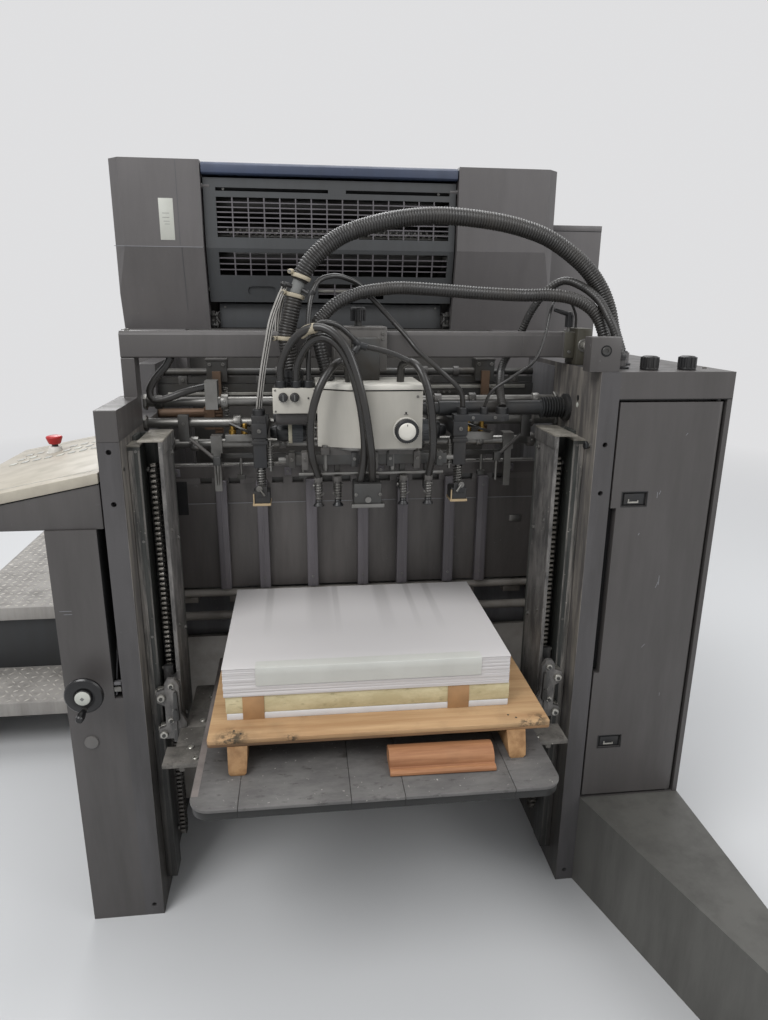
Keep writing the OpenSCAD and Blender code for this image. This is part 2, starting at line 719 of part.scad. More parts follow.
cable_thin_route = [[300, 147, port_top], [312, 130, 1330], [362, 125, 1365], [415, 138, 1400],
    [448, 168, 1460], [466, 190, 1520], [492, 215, 1548], [528, 235, 1538], [548, 240, 1505], [550, 240, beam_z + beam_h + 10]];
hose_left_route = [[side_port_x - 15, 268, side_port_z], [-420, 255, 1318], [-466, 247, 1302],
    [-496, 244, 1300], [-503, 242, 1322], [-486, 238, 1352], [-458, 232, 1382], [-445, 228, beam_z]];

module hose_large() { color("#2b2d30") tube(hose_large_route, hose_large_r, 12); }
module hose_medium() { color("#2b2d30") tube(hose_medium_route, hose_medium_r, 12); }
module hose_small() { color("#2b2d30") tube(hose_small_route, hose_small_r); }
module hose_foot_left() { color("#222325") tube(hose_foot_left_route, hose_foot_r); }
module hose_foot_right() { color("#222325") tube(hose_foot_right_route, hose_foot_r); }
module hose_sucker_left() { color("#222325") tube(hose_sucker_left_route, hose_foot_r); }
module hose_sucker_right() { color("#222325") tube(hose_sucker_right_route, hose_foot_r); }
module cable_head() { color("#1b1c1d") tube(cable_head_route, cable_r); }
module cable_blower() { color("#9a9a96") tube(cable_blower_route, cable_r, 8, [1, 0, 0]); }
module cable_thin() { color("#1b1c1d") tube(cable_thin_route, cable_thin_r); }
module hose_left() { color("#222325") tube(hose_left_route, hose_foot_r, 8, [0, 1, 0], [-1, 0, 0], [0, 0, 1]); }

// Operator side
slot_bottom = 635;
slot_top = pedestal_h + 1;
slot_w = 19;
wheel_x = -frame_out - 69;
wheel_z = 677;
plug_z = 522;
wheel_stand = 60;
module operator_pedestal() {
    color("#5a5e60") feeder() {
        difference() {
            block(-frame_out - pedestal_w, -frame_out, 0, pedestal_len, 0, pedestal_h);
            block(-frame_out - slot_w, -frame_out + 1, -1, 300, slot_bottom, slot_top);
        }
        bar_y(wheel_x, 3 - wheel_stand, 0, wheel_z, handwheel_spindle_r);
        bar_y(wheel_x - 13, -3, 0, plug_z, 14);
    }
}
module handwheel() {
    color("#1c1d1f") feeder() translate([wheel_x, -wheel_stand, wheel_z]) rotate([-90, 0, 0]) {
        difference() {
            union() {
                cylinder(r = handwheel_r - 6, h = 12);
                rotate_extrude() translate([handwheel_r - 9, 6]) circle(r = 9);
                cylinder(r = 20, h = 34);
            }
            translate([0, 0, 3 - face_gap]) cylinder(r = handwheel_spindle_r + pin_gap, h = 40);
        }
        translate([0, handwheel_r - 12, -45]) cylinder(r = 9, h = 46);
    }
}
console_right = -frame_out - 4;
console_top_t = 26;
console_drop = console_w * tan(console_slope);
module console_body() {
    color("#3e4143") feeder() translate([console_right, console_len, pedestal_h]) rotate([90, 0, 0])
    linear_extrude(console_len) polygon([[0, 0], [0, console_rise - console_top_t],
        [-console_w, console_rise - console_top_t - console_drop], [-console_w, 0]]);
}
button_r = 20;
button_stem_r = 8;
button_travel = 6;
button_x = console_right - 238;
button_y = 480;
button_seat = pedestal_h + console_rise + (button_x - console_right) * tan(console_slope);
module console_top() {
    color("#cfccc4") feeder() difference() {
        union() {
            translate([console_right, console_len, pedestal_h + console_rise]) rotate([90, 0, 0])
            linear_extrude(console_len) polygon([[0, -console_top_t], [0, 0],
                [-console_w, -console_drop], [-console_w, -console_top_t - console_drop]]);
            translate([button_x, button_y, button_seat - 12]) cylinder(r = 16, h = 22);
        }
        translate([button_x, button_y, button_seat - 14]) cylinder(r = button_stem_r + pin_gap, h = 30);
    }
}
module stop_button() {
    color("#a81c20") feeder() translate([button_x, button_y, button_seat]) {
        translate([0, 0, -5]) cylinder(r = button_stem_r, h = 24);
        translate([0, 0, 10 + button_travel + 1]) cylinder(r = button_r, h = 14);
    }
}

// Drive side cabinet with its door and knobs
door_t = 22;
door_bottom = step_h + 8;
door_top = frame_h - lid_h - 6;
door_left = frame_out + move_gap;
cabinet_right = frame_out + cabinet_w;
border_w = 12;
hinge_pin_r = 5;
hinge_x = cabinet_right - border_w - move_gap - door_t / 2;
hinge_y = door_t / 2;
hinge_bore = 14;
latch_w = 61;
latch_h = 34;
latch_depth = 5;
latch_places = [[frame_out + 31, 1073], [frame_out + 35, 416]];
knob_r = 24;
knob_h = 38;
knob_y = 55;
knob_xs = [frame_out + 90, frame_out + 182];
knob_spindle_r = 6;
module cabinet() {
    color("#54585a") feeder() difference() {
        union() {
            block(frame_out, cabinet_right, door_t + move_gap, cabinet_d, 0, frame_h - lid_h);
            block(frame_out, cabinet_right, 0, cabinet_d, frame_h - lid_h, frame_h);
            block(frame_out, cabinet_right, 0, door_t + move_gap, 0, step_h);
            block(cabinet_right - border_w, cabinet_right, 0, door_t + move_gap, step_h, frame_h - lid_h);
            translate([hinge_x, hinge_y, step_h]) cylinder(r = hinge_pin_r, h = door_bottom - step_h + 10);
            translate([hinge_x, hinge_y, door_top - 10])
                cylinder(r = hinge_pin_r, h = frame_h - lid_h - door_top + 10);
            translate([gland_large[0], gland_large[1], frame_h]) cylinder(r = hose_large_r + 7, h = gland_h);
            translate([gland_medium[0], gland_medium[1], frame_h]) cylinder(r = hose_medium_r + 4, h = gland_h);
            translate([gland_small[0], gland_small[1], frame_h]) cylinder(r = hose_small_r + 3, h = gland_h);
        }
        for (x = knob_xs) translate([x, knob_y, frame_h - 30]) cylinder(r = knob_spindle_r + pin_gap, h = 40);
    }
}
// The door turns on two pins hidden in its rounded right edge
module cabinet_door() {
    color("#575b5d") feeder() difference() {
        union() {
            block(door_left, hinge_x, 0, door_t, door_bottom, door_top);
            translate([hinge_x, hinge_y, door_bottom]) cylinder(r = door_t / 2, h = door_top - door_bottom);
        }
        for (z = [door_bottom - 1, door_top - hinge_bore])
            translate([hinge_x, hinge_y, z]) cylinder(r = hinge_pin_r + pin_gap, h = hinge_bore + 1);
        block(door_left - 1, frame_out + slot_w, -1, door_t + 1, slot_bottom, slot_top + 18);
        for (p = latch_places) block(p[0], p[0] + latch_w, -1, latch_depth, p[1], p[1] + latch_h);
    }
}
module cabinet_knob(x) {
    feeder() translate([x, knob_y, frame_h]) {
        translate([0, 0, face_gap]) cylinder(r = knob_r, h = knob_h);
        translate([0, 0, -28]) cylinder(r = knob_spindle_r, h = 30);
    }
}
module cabinet_knob_left() { color("#17181a") cabinet_knob(knob_xs[0]); }
module cabinet_knob_right() { color("#17181a") cabinet_knob(knob_xs[1]); }

module wedge_step() {
    color("#4a4f50") feeder() linear_extrude(step_h)
    polygon([[frame_out, 0], [cabinet_right, 0], [cabinet_right, -step_len],
        [cabinet_right - step_end_w, -step_len]]);
}

// Printing tower
module cover_profile(x0, x1) {
    side_profile(x0, x1, [[cover_lean, cover_bottom], [0, fold_h], [0, tower_h],
        [tower_len, tower_h], [tower_len, cover_bottom]]);
}
// A tall prism that takes the outer front corner off a cover, drawn for the right side
module corner_cut() {
    translate([tower_out, 0, cover_bottom - 10]) linear_extrude(tower_h)
    polygon([[1, -1], [-cover_chamfer - 1, -1], [1, cover_chamfer + 1]]);
}
guard_axis_y = 28;
pin_len = 24;
guard_axis_z = tower_h - guard_axis_drop;
module tower_covers() {
    color("#5b5e5f") tower() {
        difference() {
            cover_profile(-tower_out, -cover_in_left);
            mirror([1, 0, 0]) corner_cut();
        }
        bar_x(-cover_in_left, -cover_in_left + pin_len, guard_axis_y, guard_axis_z, guard_pin_r);
        difference() {
            cover_profile(cover_in_right, tower_out);
            corner_cut();
        }
        bar_x(cover_in_right - pin_len, cover_in_right, guard_axis_y, guard_axis_z, guard_pin_r);
    }
}
strip_h = 42;
strip_bottom = tower_h - 4 - strip_h;
// The cover strip over the guard and the sheet that closes the tower's back
module tower_top() {
    color("#3d4f74") tower() {
        block(-cover_in_left, cover_in_right, 4, tower_len, strip_bottom, tower_h - 4);
        block(-cover_in_left, cover_in_right, tower_len - 20, tower_len, cover_bottom, strip_bottom);
    }
}
guard_left = -cover_in_left + move_gap;
guard_right = cover_in_right - move_gap;
guard_top = guard_axis_z + 12;
guard_low = guard_top - guard_h;
guard_back = 21;
guard_lean = cover_lean * (fold_h - guard_low) / (fold_h - cover_bottom);
grille_left = -385;
grille_right = 345;
grille_bar = 10;
col_pitch = (grille_right - grille_left) / guard_cols;
// Middle of the oval grip recess in the guard
handle_x = -281;
handle_z = guard_low + 63;
handle_y = guard_back + guard_lean * (fold_h - handle_z) / (fold_h - guard_low);
handle_depth = 7;
// Heights of the openings as distances below the top of the guard, from and to
grille_rows = [[42, 158], [202, 270]];
module tower_guard() {
    color("#3b3f43") tower() difference() {
        union() {
            side_profile(guard_left, guard_right, [[guard_back, fold_h], [guard_back, guard_top],
                [guard_back + guard_t, guard_top], [guard_back + guard_t, fold_h],
                [guard_back + guard_t + guard_lean, guard_low], [guard_back + guard_lean, guard_low]]);
            bar_x(guard_left, guard_right, guard_axis_y, guard_axis_z, 14);
        }
        for (x = [guard_left - 1, guard_right - pin_len])
            bar_x(x, x + pin_len + 1, guard_axis_y, guard_axis_z, guard_pin_r + pin_gap);
        for (i = [0:guard_cols - 1]) for (row = grille_rows)
            block(grille_left + i * col_pitch, grille_left + (i + 1) * col_pitch - grille_bar, -50, 130,
                guard_top - row[1], guard_top - row[0]);
        translate([handle_x, 0, handle_z]) rotate([-90, 0, 0]) linear_extrude(handle_y + handle_depth) {
            for (x = [-30, 30]) translate([x, 0]) circle(r = 14);
            square([60, 28], center = true);
        }
    }
}
// Rollers of the inking unit: place along the paper travel, distance below the top, radius
roller_places = [[120, 108, 38], [120, 268, 34], [200, 188, 42], [210, 338, 38], [310, 98, 42], [320, 258, 50]];
module ink_rollers() {
    color("#6f7273") tower() for (p = roller_places)
        bar_x(-cover_in_left, cover_in_right, p[0], tower_h - p[1], p[2]);
}
module unit_body() {
    color("#45494b") tower() {
        block(-unit_half, unit_half, 60, unit_len - 10, 0, cover_bottom);
        block(-cover_in_left, cover_in_right, cover_lean + 40, cover_lean + 55, cover_bottom, guard_low - 10);
    }
}
module side_panels() {
    color("#565a5c") tower() for (side = [0, 1]) mirror([side, 0, 0])
        block(unit_half, tower_out, 0, unit_len, 0, cover_bottom);
}
module drive_housing() {
    color("#6a6d6d") tower() block(tower_out, tower_out + housing_w, 150, 150 + housing_len, 0, housing_h);
}

// Delivery
hood_start = cover_bottom - 10;
hood_knee = 80;
apron_h = 220;
apron_t = 18;
module delivery_frames() {
    color("#505456") translate([0, unit_rear, 0]) for (x = [-frame_out, frame_in])
        side_profile(x, x + frame_t, [[0, 0], [delivery_len, 0], [delivery_len, delivery_h],
            [hood_len, delivery_h + hood_knee], [0, hood_start]]);
}
// The hood over the delivery with the apron that hangs down at its rear end
module delivery_hood() {
    color("#565a5c") translate([0, unit_rear, 0]) {
        side_profile(-frame_out, frame_out, [[0, hood_start], [hood_len, delivery_h + hood_knee],
            [delivery_len, delivery_h], [delivery_len, delivery_h + hood_t],
            [hood_len, delivery_h + hood_knee + hood_t], [0, hood_start + hood_t]]);
        side_profile(-frame_in, frame_in, [[delivery_len - apron_t, delivery_h - apron_h],
            [delivery_len, delivery_h - apron_h],
            [delivery_len, delivery_h + 10], [delivery_len - apron_t, delivery_h + 10]]);
    }
}
delivered_t = 40;
delivered_bottom = 70;
module delivery_pile() {
    color("#c9c4b4") translate([0, unit_rear, delivered_bottom]) {
        block(-frame_in, frame_in, hood_len - 40, delivery_len - 60, 0, delivered_t);
        block(-sheet_w / 2, sheet_w / 2, hood_len, hood_len + sheet_len,
            delivered_t, delivered_t + delivered_h);
    }
}

// Operator platform: a lower tread and an upper deck, each with a folded front edge
deck_front = feeder_len + 166;
nosing_out = 22;
tread_leg_t = 30;
module platform() {
    color("#6b7276") feeder() {
        block(-tower_out - deck_w, -tower_out, deck_front, deck_front + deck_len, 0, deck_h);
        block(-tower_out - deck_w, -tower_out, deck_front - nosing_out, deck_front,
            deck_h - nosing_h, deck_h);
        for (x = [-tower_out - deck_w, -tower_out - tread_leg_t])
            block(x, x + tread_leg_t, deck_front - tread_len + nosing_out, deck_front, 0, tread_h);
        block(-tower_out - deck_w, -tower_out, deck_front - tread_len, deck_front,
            tread_h - nosing_h, tread_h);
    }
}

frame_left();
frame_right();
left_cap();
right_cap();
cross_beam();
lift_columns();
lift_chains();
carriages();
pile_board();
pallet();
pile_layer();
paper_pile();
wood_piece();
front_stop();
tie_rods();
feed_board();
clamp_lever();
head_hanger();
head_housing();
valve_box();
head_dial();
head_shaft();
shaft_couplings();
head_rods();
nozzles();
side_blowers();
cross_rails();
side_racks();
hose_large();
hose_medium();
hose_small();
hose_foot_left();
hose_foot_right();
hose_left();
hose_sucker_left();
hose_sucker_right();
cable_head();
cable_blower();
cable_thin();
operator_pedestal();
handwheel();
console_body();
console_top();
stop_button();
cabinet();
cabinet_door();
cabinet_knob_left();
cabinet_knob_right();
wedge_step();
tower_covers();
tower_top();
tower_guard();
ink_rollers();
unit_body();
side_panels();
drive_housing();
delivery_frames();
delivery_hood();
delivery_pile();
platform();
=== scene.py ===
"""Dresses the offset printing press: materials, detailed pieces, hoses, light and camera."""
import math

import bmesh
import bpy
from mathutils import Matrix, Vector


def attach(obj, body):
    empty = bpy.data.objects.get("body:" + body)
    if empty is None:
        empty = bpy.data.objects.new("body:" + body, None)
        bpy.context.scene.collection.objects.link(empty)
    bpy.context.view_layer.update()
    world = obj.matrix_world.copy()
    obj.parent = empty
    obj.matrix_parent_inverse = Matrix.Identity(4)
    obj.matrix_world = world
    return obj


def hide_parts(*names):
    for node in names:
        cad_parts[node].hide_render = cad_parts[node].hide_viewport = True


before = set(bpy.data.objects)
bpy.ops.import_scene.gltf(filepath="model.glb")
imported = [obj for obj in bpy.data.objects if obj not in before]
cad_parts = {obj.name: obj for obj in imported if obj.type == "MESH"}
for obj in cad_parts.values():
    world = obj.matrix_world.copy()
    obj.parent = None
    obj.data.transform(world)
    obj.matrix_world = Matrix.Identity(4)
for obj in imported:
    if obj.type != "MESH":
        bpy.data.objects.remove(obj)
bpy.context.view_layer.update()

# Places along the press that pieces are measured from, in metres
POST_FRONT = -1.5
TOWER_FRONT = -0.65
UNIT_REAR = 0.65

# Distances of the side walls from the middle, in millimetres
FRAME_IN = 526
FRAME_OUT = 573
UNIT_SIDE = 697
HOUSING_SIDE = 911


def feeder_point(x, y, z):
    """A point given in millimetres from the front of the feeder posts."""
    return Vector((x / 1000, POST_FRONT + y / 1000, z / 1000))


# Camera at the photograph's angle: its place in millimetres from the feeder posts, its turns in radians
CAMERA_PLACE = (-143.3, -1544.9, 1533.2)
CAMERA_YAW = 0.1181
CAMERA_PITCH = 0.2841
CAMERA_ROLL = 0.0083
PHOTO_HEIGHT = 1020
FOCAL_PIXELS = 714.0
SENSOR_WIDTH = 36


def make_camera():
    data = bpy.data.cameras.new("photo_camera")
    data.sensor_width = SENSOR_WIDTH
    data.sensor_fit = "AUTO"
    data.lens = FOCAL_PIXELS / PHOTO_HEIGHT * SENSOR_WIDTH
    forward = Vector((
        math.sin(CAMERA_YAW) * math.cos(CAMERA_PITCH),
        math.cos(CAMERA_YAW) * math.cos(CAMERA_PITCH),
        -math.sin(CAMERA_PITCH),
    ))
    level = Vector((math.cos(CAMERA_YAW), -math.sin(CAMERA_YAW), 0))
    above = level.cross(forward)
    right = level * math.cos(CAMERA_ROLL) + above * math.sin(CAMERA_ROLL)
    up = above * math.cos(CAMERA_ROLL) - level * math.sin(CAMERA_ROLL)
    turn = Matrix((right, up, -forward)).transposed().to_4x4()
    camera = bpy.data.objects.new("photo_camera", data)
    camera.matrix_world = Matrix.Translation(feeder_point(*CAMERA_PLACE)) @ turn
    bpy.context.scene.collection.objects.link(camera)
    bpy.context.scene.camera = camera


# Materials

# Oil stains on the pallet's deck: middle and radius, and the deck's height, in metres
DECK_STAINS = ((-0.305, -1.704, 0.045), (0.365, -1.7, 0.03), (0.335, -1.712, 0.02), (-0.18, -1.715, 0.02))
STAIN_Z = 0.64

# Soft shadows on the top sheet: middle along X and half width, in metres
SHEET_SHADOWS = ((-0.235, 0.006), (-0.105, 0.02), (-0.062, 0.005), (0.06, 0.012), (0.135, 0.005),
                 (0.19, 0.006))

# Painted shade under the pile board: its colour, and the heights in metres over which it fades out
LOW_SHADE = "#1b1917"
LOW_SHADE_Z = (0.4, 0.62)

# Shades that dull the paint and soil plastic and metal
PAINT_SHADE = (0.035, 0.033, 0.03, 1)
PAINT_DIRT = (0.018, 0.016, 0.014, 1)
SOIL = "#3b342b"


def colour(text):
    """A linear colour from a hex code."""
    values = [int(text[i:i + 2], 16) / 255 for i in (1, 3, 5)]
    linear = [v / 12.92 if v <= 0.04045 else ((v + 0.055) / 1.055) ** 2.4 for v in values]
    return (*linear, 1)


def new_group(name, inputs, outputs):
    group = bpy.data.node_groups.new(name, "ShaderNodeTree")
    for label, kind, value in inputs:
        socket = group.interface.new_socket(name=label, in_out="INPUT", socket_type=kind)
        socket.default_value = value
    for label, kind in outputs:
        group.interface.new_socket(name=label, in_out="OUTPUT", socket_type=kind)
    entry = group.nodes.new("NodeGroupInput")
    leave = group.nodes.new("NodeGroupOutput")
    return group, entry, leave


def add_stretch(tree, vector, scale):
    """A place scaled on each axis, which draws a pattern out along the axes with small numbers."""
    node = tree.nodes.new("ShaderNodeMapping")
    node.inputs["Scale"].default_value = scale
    tree.links.new(vector, node.inputs["Vector"])
    return node.outputs["Vector"]


def add_split(tree, vector):
    """The X, Y and Z of a place."""
    node = tree.nodes.new("ShaderNodeSeparateXYZ")
    tree.links.new(vector, node.inputs["Vector"])
    return node.outputs


def add_noise(tree, vector, scale, detail=4, roughness=0.55):
    node = tree.nodes.new("ShaderNodeTexNoise")
    for label, number in (("Scale", scale), ("Detail", detail), ("Roughness", roughness)):
        node.inputs[label].default_value = number
    tree.links.new(vector, node.inputs["Vector"])
    return node.outputs["Fac"]


def add_range(tree, value, low, high, out_low=0.0, out_high=1.0):
    """A value between two limits turned into a value between two others."""
    node = tree.nodes.new("ShaderNodeMapRange")
    tree.links.new(value, node.inputs["Value"])
    for label, number in (("From Min", low), ("From Max", high), ("To Min", out_low), ("To Max", out_high)):
        node.inputs[label].default_value = number
    return node.outputs["Result"]


def add_maths(tree, operation, first, second=0.0):
    node = tree.nodes.new("ShaderNodeMath")
    node.operation = operation
    for slot_number, value in enumerate((first, second)):
        if isinstance(value, (int, float)):
            node.inputs[slot_number].default_value = value
        else:
            tree.links.new(value, node.inputs[slot_number])
    return node.outputs[0]


def add_mix(tree, factor, first, second):
    """A colour between two others."""
    node = tree.nodes.new("ShaderNodeMix")
    node.data_type = "RGBA"
    tree.links.new(factor, node.inputs["Factor"])
    for label, value in (("A", first), ("B", second)):
        socket = next(s for s in node.inputs if s.name == label and s.type == "RGBA")
        if isinstance(value, tuple):
            socket.default_value = value
        else:
            tree.links.new(value, socket)
    return next(s for s in node.outputs if s.type == "RGBA")


def make_worn_paint():
    """Paint with broad shade changes, fine orange peel, dirt in streaks and small scuffs."""
    group, entry, leave = new_group(
        "worn_paint",
        [("Paint", "NodeSocketColor", (0.1, 0.1, 0.1, 1)), ("Scuff", "NodeSocketColor", (0.3, 0.3, 0.3, 1)),
         ("Vector", "NodeSocketVector", (0, 0, 0)), ("Dirt", "NodeSocketFloat", 0.3),
         ("Wear", "NodeSocketFloat", 0.3)],
        [("Color", "NodeSocketColor"), ("Roughness", "NodeSocketFloat"), ("Height", "NodeSocketFloat")],
    )
    vector = entry.outputs["Vector"]
    broad = add_noise(group, vector, 2.2, 5)
    streaks = add_noise(group, add_stretch(group, vector, (9, 9, 1.2)), 1.6, 6, 0.65)
    fine = add_noise(group, vector, 420, 2)
    specks = add_noise(group, vector, 70, 5, 0.7)
    dirt = add_maths(group, "MULTIPLY", add_range(group, streaks, 0.42, 0.72), entry.outputs["Dirt"])
    marks = add_maths(group, "MULTIPLY", add_range(group, specks, 0.66, 0.72), entry.outputs["Wear"])
    scuff = add_maths(group, "MULTIPLY", marks, add_range(group, broad, 0.45, 0.62))
    shade = add_mix(group, add_range(group, broad, 0.3, 0.75, 0, 0.35), entry.outputs["Paint"], PAINT_SHADE)
    dark = add_mix(group, dirt, shade, PAINT_DIRT)
    group.links.new(add_mix(group, scuff, dark, entry.outputs["Scuff"]), leave.inputs["Color"])
    dull = add_range(group, streaks, 0.3, 0.7, 0.36, 0.56)
    rough = add_maths(group, "ADD", dull, add_maths(group, "MULTIPLY", scuff, 0.15))
    group.links.new(rough, leave.inputs["Roughness"])
    peel = add_maths(group, "MULTIPLY", fine, 0.25)
    height = add_maths(group, "SUBTRACT", peel, add_maths(group, "MULTIPLY", scuff, 0.8))
    group.links.new(height, leave.inputs["Height"])
    return group


def new_material(name):
    material = bpy.data.materials.new(name)
    material.use_nodes = True
    tree = material.node_tree
    shader = tree.nodes["Principled BSDF"]
    place = tree.nodes.new("ShaderNodeTexCoord")
    return material, tree, shader, place.outputs["Object"]


def set_surface(tree, shader, tone, rough, metallic=0.0):
    """Gives a material its colour, and its roughness as one number or as a value that changes."""
    tree.links.new(tone, shader.inputs["Base Color"])
    if isinstance(rough, float):
        shader.inputs["Roughness"].default_value = rough
    else:
        tree.links.new(rough, shader.inputs["Roughness"])
    shader.inputs["Metallic"].default_value = metallic


def add_bump(tree, shader, height, strength, distance):
    node = tree.nodes.new("ShaderNodeBump")
    node.inputs["Strength"].default_value = strength
    node.inputs["Distance"].default_value = distance
    tree.links.new(height, node.inputs["Height"])
    tree.links.new(node.outputs["Normal"], shader.inputs["Normal"])


def add_worn_paint(tree, place, paint, scuff, dirt, wear):
    node = tree.nodes.new("ShaderNodeGroup")
    node.node_tree = WORN_PAINT
    for label, value in (("Paint", colour(paint)), ("Scuff", colour(scuff)), ("Dirt", dirt), ("Wear", wear)):
        node.inputs[label].default_value = value
    tree.links.new(place, node.inputs["Vector"])
    return node.outputs


def painted(name, paint, scuff="#8c8f8f", dirt=0.3, wear=0.3):
    """Machine paint with its dirt and wear."""
    material, tree, shader, place = new_material(name)
    worn = add_worn_paint(tree, place, paint, scuff, dirt, wear)
    set_surface(tree, shader, worn["Color"], worn["Roughness"])
    add_bump(tree, shader, worn["Height"], 0.25, 0.0004)
    return material


def stained_frame():
    """Side frame paint: inner faces near the lift streaked and rubbed bare, and painted shade low down."""
    material, tree, shader, place = new_material("frame_grey_paint")
    worn = add_worn_paint(tree, place, "#4d4b4c", "#8c8a87", 0.5, 0.7)
    side = add_split(tree, place)
    inner = add_range(tree, add_maths(tree, "ABSOLUTE", side["X"]), 0.5262, 0.5275, 1, 0)
    near = add_range(tree, side["Y"], -1.2, -1.05, 1, 0)
    streaks = add_noise(tree, add_stretch(tree, place, (1, 22, 2.6)), 1.6, 9, 0.7)
    rubbed = add_maths(tree, "MULTIPLY", inner, near)
    bare = add_maths(tree, "MULTIPLY", rubbed, add_range(tree, streaks, 0.44, 0.66, 0.12, 0.85))
    mixed = add_mix(tree, bare, worn["Color"], colour("#8d877e"))
    # Painted shade: the inner faces grow dark below the pile board
    low_shade = add_maths(tree, "MULTIPLY", inner, add_range(tree, side["Z"], *LOW_SHADE_Z, 0.75, 0))
    set_surface(tree, shader, add_mix(tree, low_shade, mixed, colour(LOW_SHADE)), worn["Roughness"])
    add_bump(tree, shader, worn["Height"], 0.25, 0.0004)
    return material


def layered_paper(name, light, dark, pitch, spread):
    """Stacked sheets: thin uneven lines run round the sides, the top stays plain."""
    material, tree, shader, place = new_material(name)
    lines = add_noise(tree, add_stretch(tree, place, (1.2, 1.2, 1 / pitch)), 1.0, 3, 0.7)
    broad = add_noise(tree, place, 3.0, 3)
    mixed = add_mix(tree, add_range(tree, lines, 0.4, 0.62), colour(dark), colour(light))
    toned = add_mix(tree, add_range(tree, broad, 0.35, 0.7, 0, spread), mixed, colour(dark))
    set_surface(tree, shader, toned, 0.62)
    add_bump(tree, shader, lines, 0.3, 0.0006)
    return material


def shaded_paper():
    """The top sheet: nearly white, with soft upright shadows across it."""
    material, tree, shader, place = new_material("top_sheet")
    side = add_split(tree, place)
    shade = 0.0
    for middle, width in SHEET_SHADOWS:
        away = add_maths(tree, "ABSOLUTE", add_maths(tree, "SUBTRACT", side["X"], middle))
        shade = add_maths(tree, "ADD", shade, add_range(tree, away, width, width * 2, 0.4, 0))
    fade = add_range(tree, side["Y"], -1.5, -1.2)
    mixed = add_mix(tree, add_maths(tree, "MULTIPLY", shade, fade), colour("#c0bdbc"), colour("#858281"))
    set_surface(tree, shader, mixed, 0.5)
    add_bump(tree, shader, add_noise(tree, place, 3, 2), 0.15, 0.002)
    return material


def mottled(name, light, dark, stretch, rough, metallic=0.0, stain="#2b2825", flecks=0.5, low_shade=0.0):
    """A much used surface: two shades in patches, darker marks, small pale flecks, painted shade low down."""
    material, tree, shader, place = new_material(name)
    drawn = add_stretch(tree, place, stretch)
    patches = add_noise(tree, drawn, 11, 9, 0.72)
    marks = add_noise(tree, drawn, 34, 4, 0.6)
    specks = add_noise(tree, place, 120, 2)
    mixed = add_mix(tree, add_range(tree, patches, 0.4, 0.62), colour(dark), colour(light))
    marked = add_mix(tree, add_range(tree, marks, 0.6, 0.72, 0, 0.75), mixed, colour(stain))
    pale = add_mix(tree, add_range(tree, specks, 0.7, 0.76, 0, flecks), marked, colour("#c2beb5"))
    height = add_split(tree, place)["Z"]
    # Painted shade low down, below the pile board
    with_low_shade = add_mix(tree, add_range(tree, height, *LOW_SHADE_Z, low_shade, 0), pale, colour(LOW_SHADE))
    set_surface(tree, shader, with_low_shade, add_range(tree, patches, 0.3, 0.7, rough + 0.1, rough - 0.1), metallic)
    add_bump(tree, shader, patches, 0.25, 0.0006)
    return material


def wooden(name, light, dark, grain_axis, worn=0.4, stains=()):
    """Plain sawn wood: long streaks along the grain, blotches and dark stains at given places."""
    material, tree, shader, place = new_material(name)
    scale = [26.0, 26.0, 26.0]
    scale[grain_axis] = 1.6
    grain = add_noise(tree, add_stretch(tree, place, scale), 1.5, 8, 0.65)
    blotch = add_noise(tree, place, 9, 4)
    mixed = add_mix(tree, add_range(tree, grain, 0.38, 0.66), colour(dark), colour(light))
    dirty = add_mix(tree, add_range(tree, blotch, 0.52, 0.75, 0, worn), mixed, colour("#5a4733"))
    ragged = add_noise(tree, place, 60, 4, 0.7)
    for x, y, radius in stains:
        away = tree.nodes.new("ShaderNodeVectorMath")
        away.operation = "DISTANCE"
        tree.links.new(place, away.inputs[0])
        away.inputs[1].default_value = (x, y, STAIN_Z)
        near = add_range(tree, away.outputs["Value"], radius * 0.3, radius, 1, 0)
        spread = add_maths(tree, "MULTIPLY", near, add_range(tree, ragged, 0.42, 0.56, 0, 0.9))
        dirty = add_mix(tree, spread, dirty, colour("#2e2a20"))
    set_surface(tree, shader, dirty, add_range(tree, grain, 0.3, 0.7, 0.75, 0.55))
    add_bump(tree, shader, grain, 0.3, 0.0006)
    return material


def moulded(name, base, rough, bump_scale=700, metallic=0.0, tone=0.2):
    """Plastic, rubber or bare metal with a fine surface and a slight change of shade."""
    material, tree, shader, place = new_material(name)
    fine = add_noise(tree, place, bump_scale, 2)
    broad = add_noise(tree, place, 14, 5)
    mixed = add_mix(tree, add_range(tree, broad, 0.4, 0.7, 0, tone), colour(base), colour(SOIL))
    gloss = add_range(tree, broad, 0.3, 0.7, max(rough - 0.07, 0.05), rough + 0.1)
    set_surface(tree, shader, mixed, gloss, metallic)
    add_bump(tree, shader, fine, 0.2, 0.0003)
    return material


WORN_PAINT = make_worn_paint()

# Paints
DARK_PAINT = painted("dark_grey_paint", "#4e4b4a", dirt=0.3, wear=0.5)
COVER_PAINT = painted("cover_grey_paint", "#5f5c5c", dirt=0.18, wear=0.25)
STEP_PAINT = painted("step_grey_paint", "#5a5955", dirt=0.4, wear=0.6)
FRAME_PAINT = stained_frame()
OILY_PAINT = painted("oily_dark_paint", "#474543", dirt=0.6, wear=0.6)
GUARD_PAINT = painted("guard_dark_paint", "#414345", dirt=0.3, wear=0.3)
BLUE_PAINT = painted("blue_strip_paint", "#333f58", "#8b93a8", 0.25, 0.3)
BOARD_PAINT = painted("board_grey_paint", "#4b4c4d", "#8f8a80", 0.45, 0.9)
PLATE_PAINT = painted("checker_plate_paint", "#a19d98", "#c4c0b8", 0.45, 0.8)
HOUSING_PAINT = painted("light_housing_paint", "#c2beb4", "#8f8b80", 0.14, 0.12)
BAR_PAINT = painted("stop_bar_paint", "#656165", dirt=0.4, wear=0.8)
SEAM_GREY = painted("seam_paint", "#505154", dirt=0.2, wear=0.1)
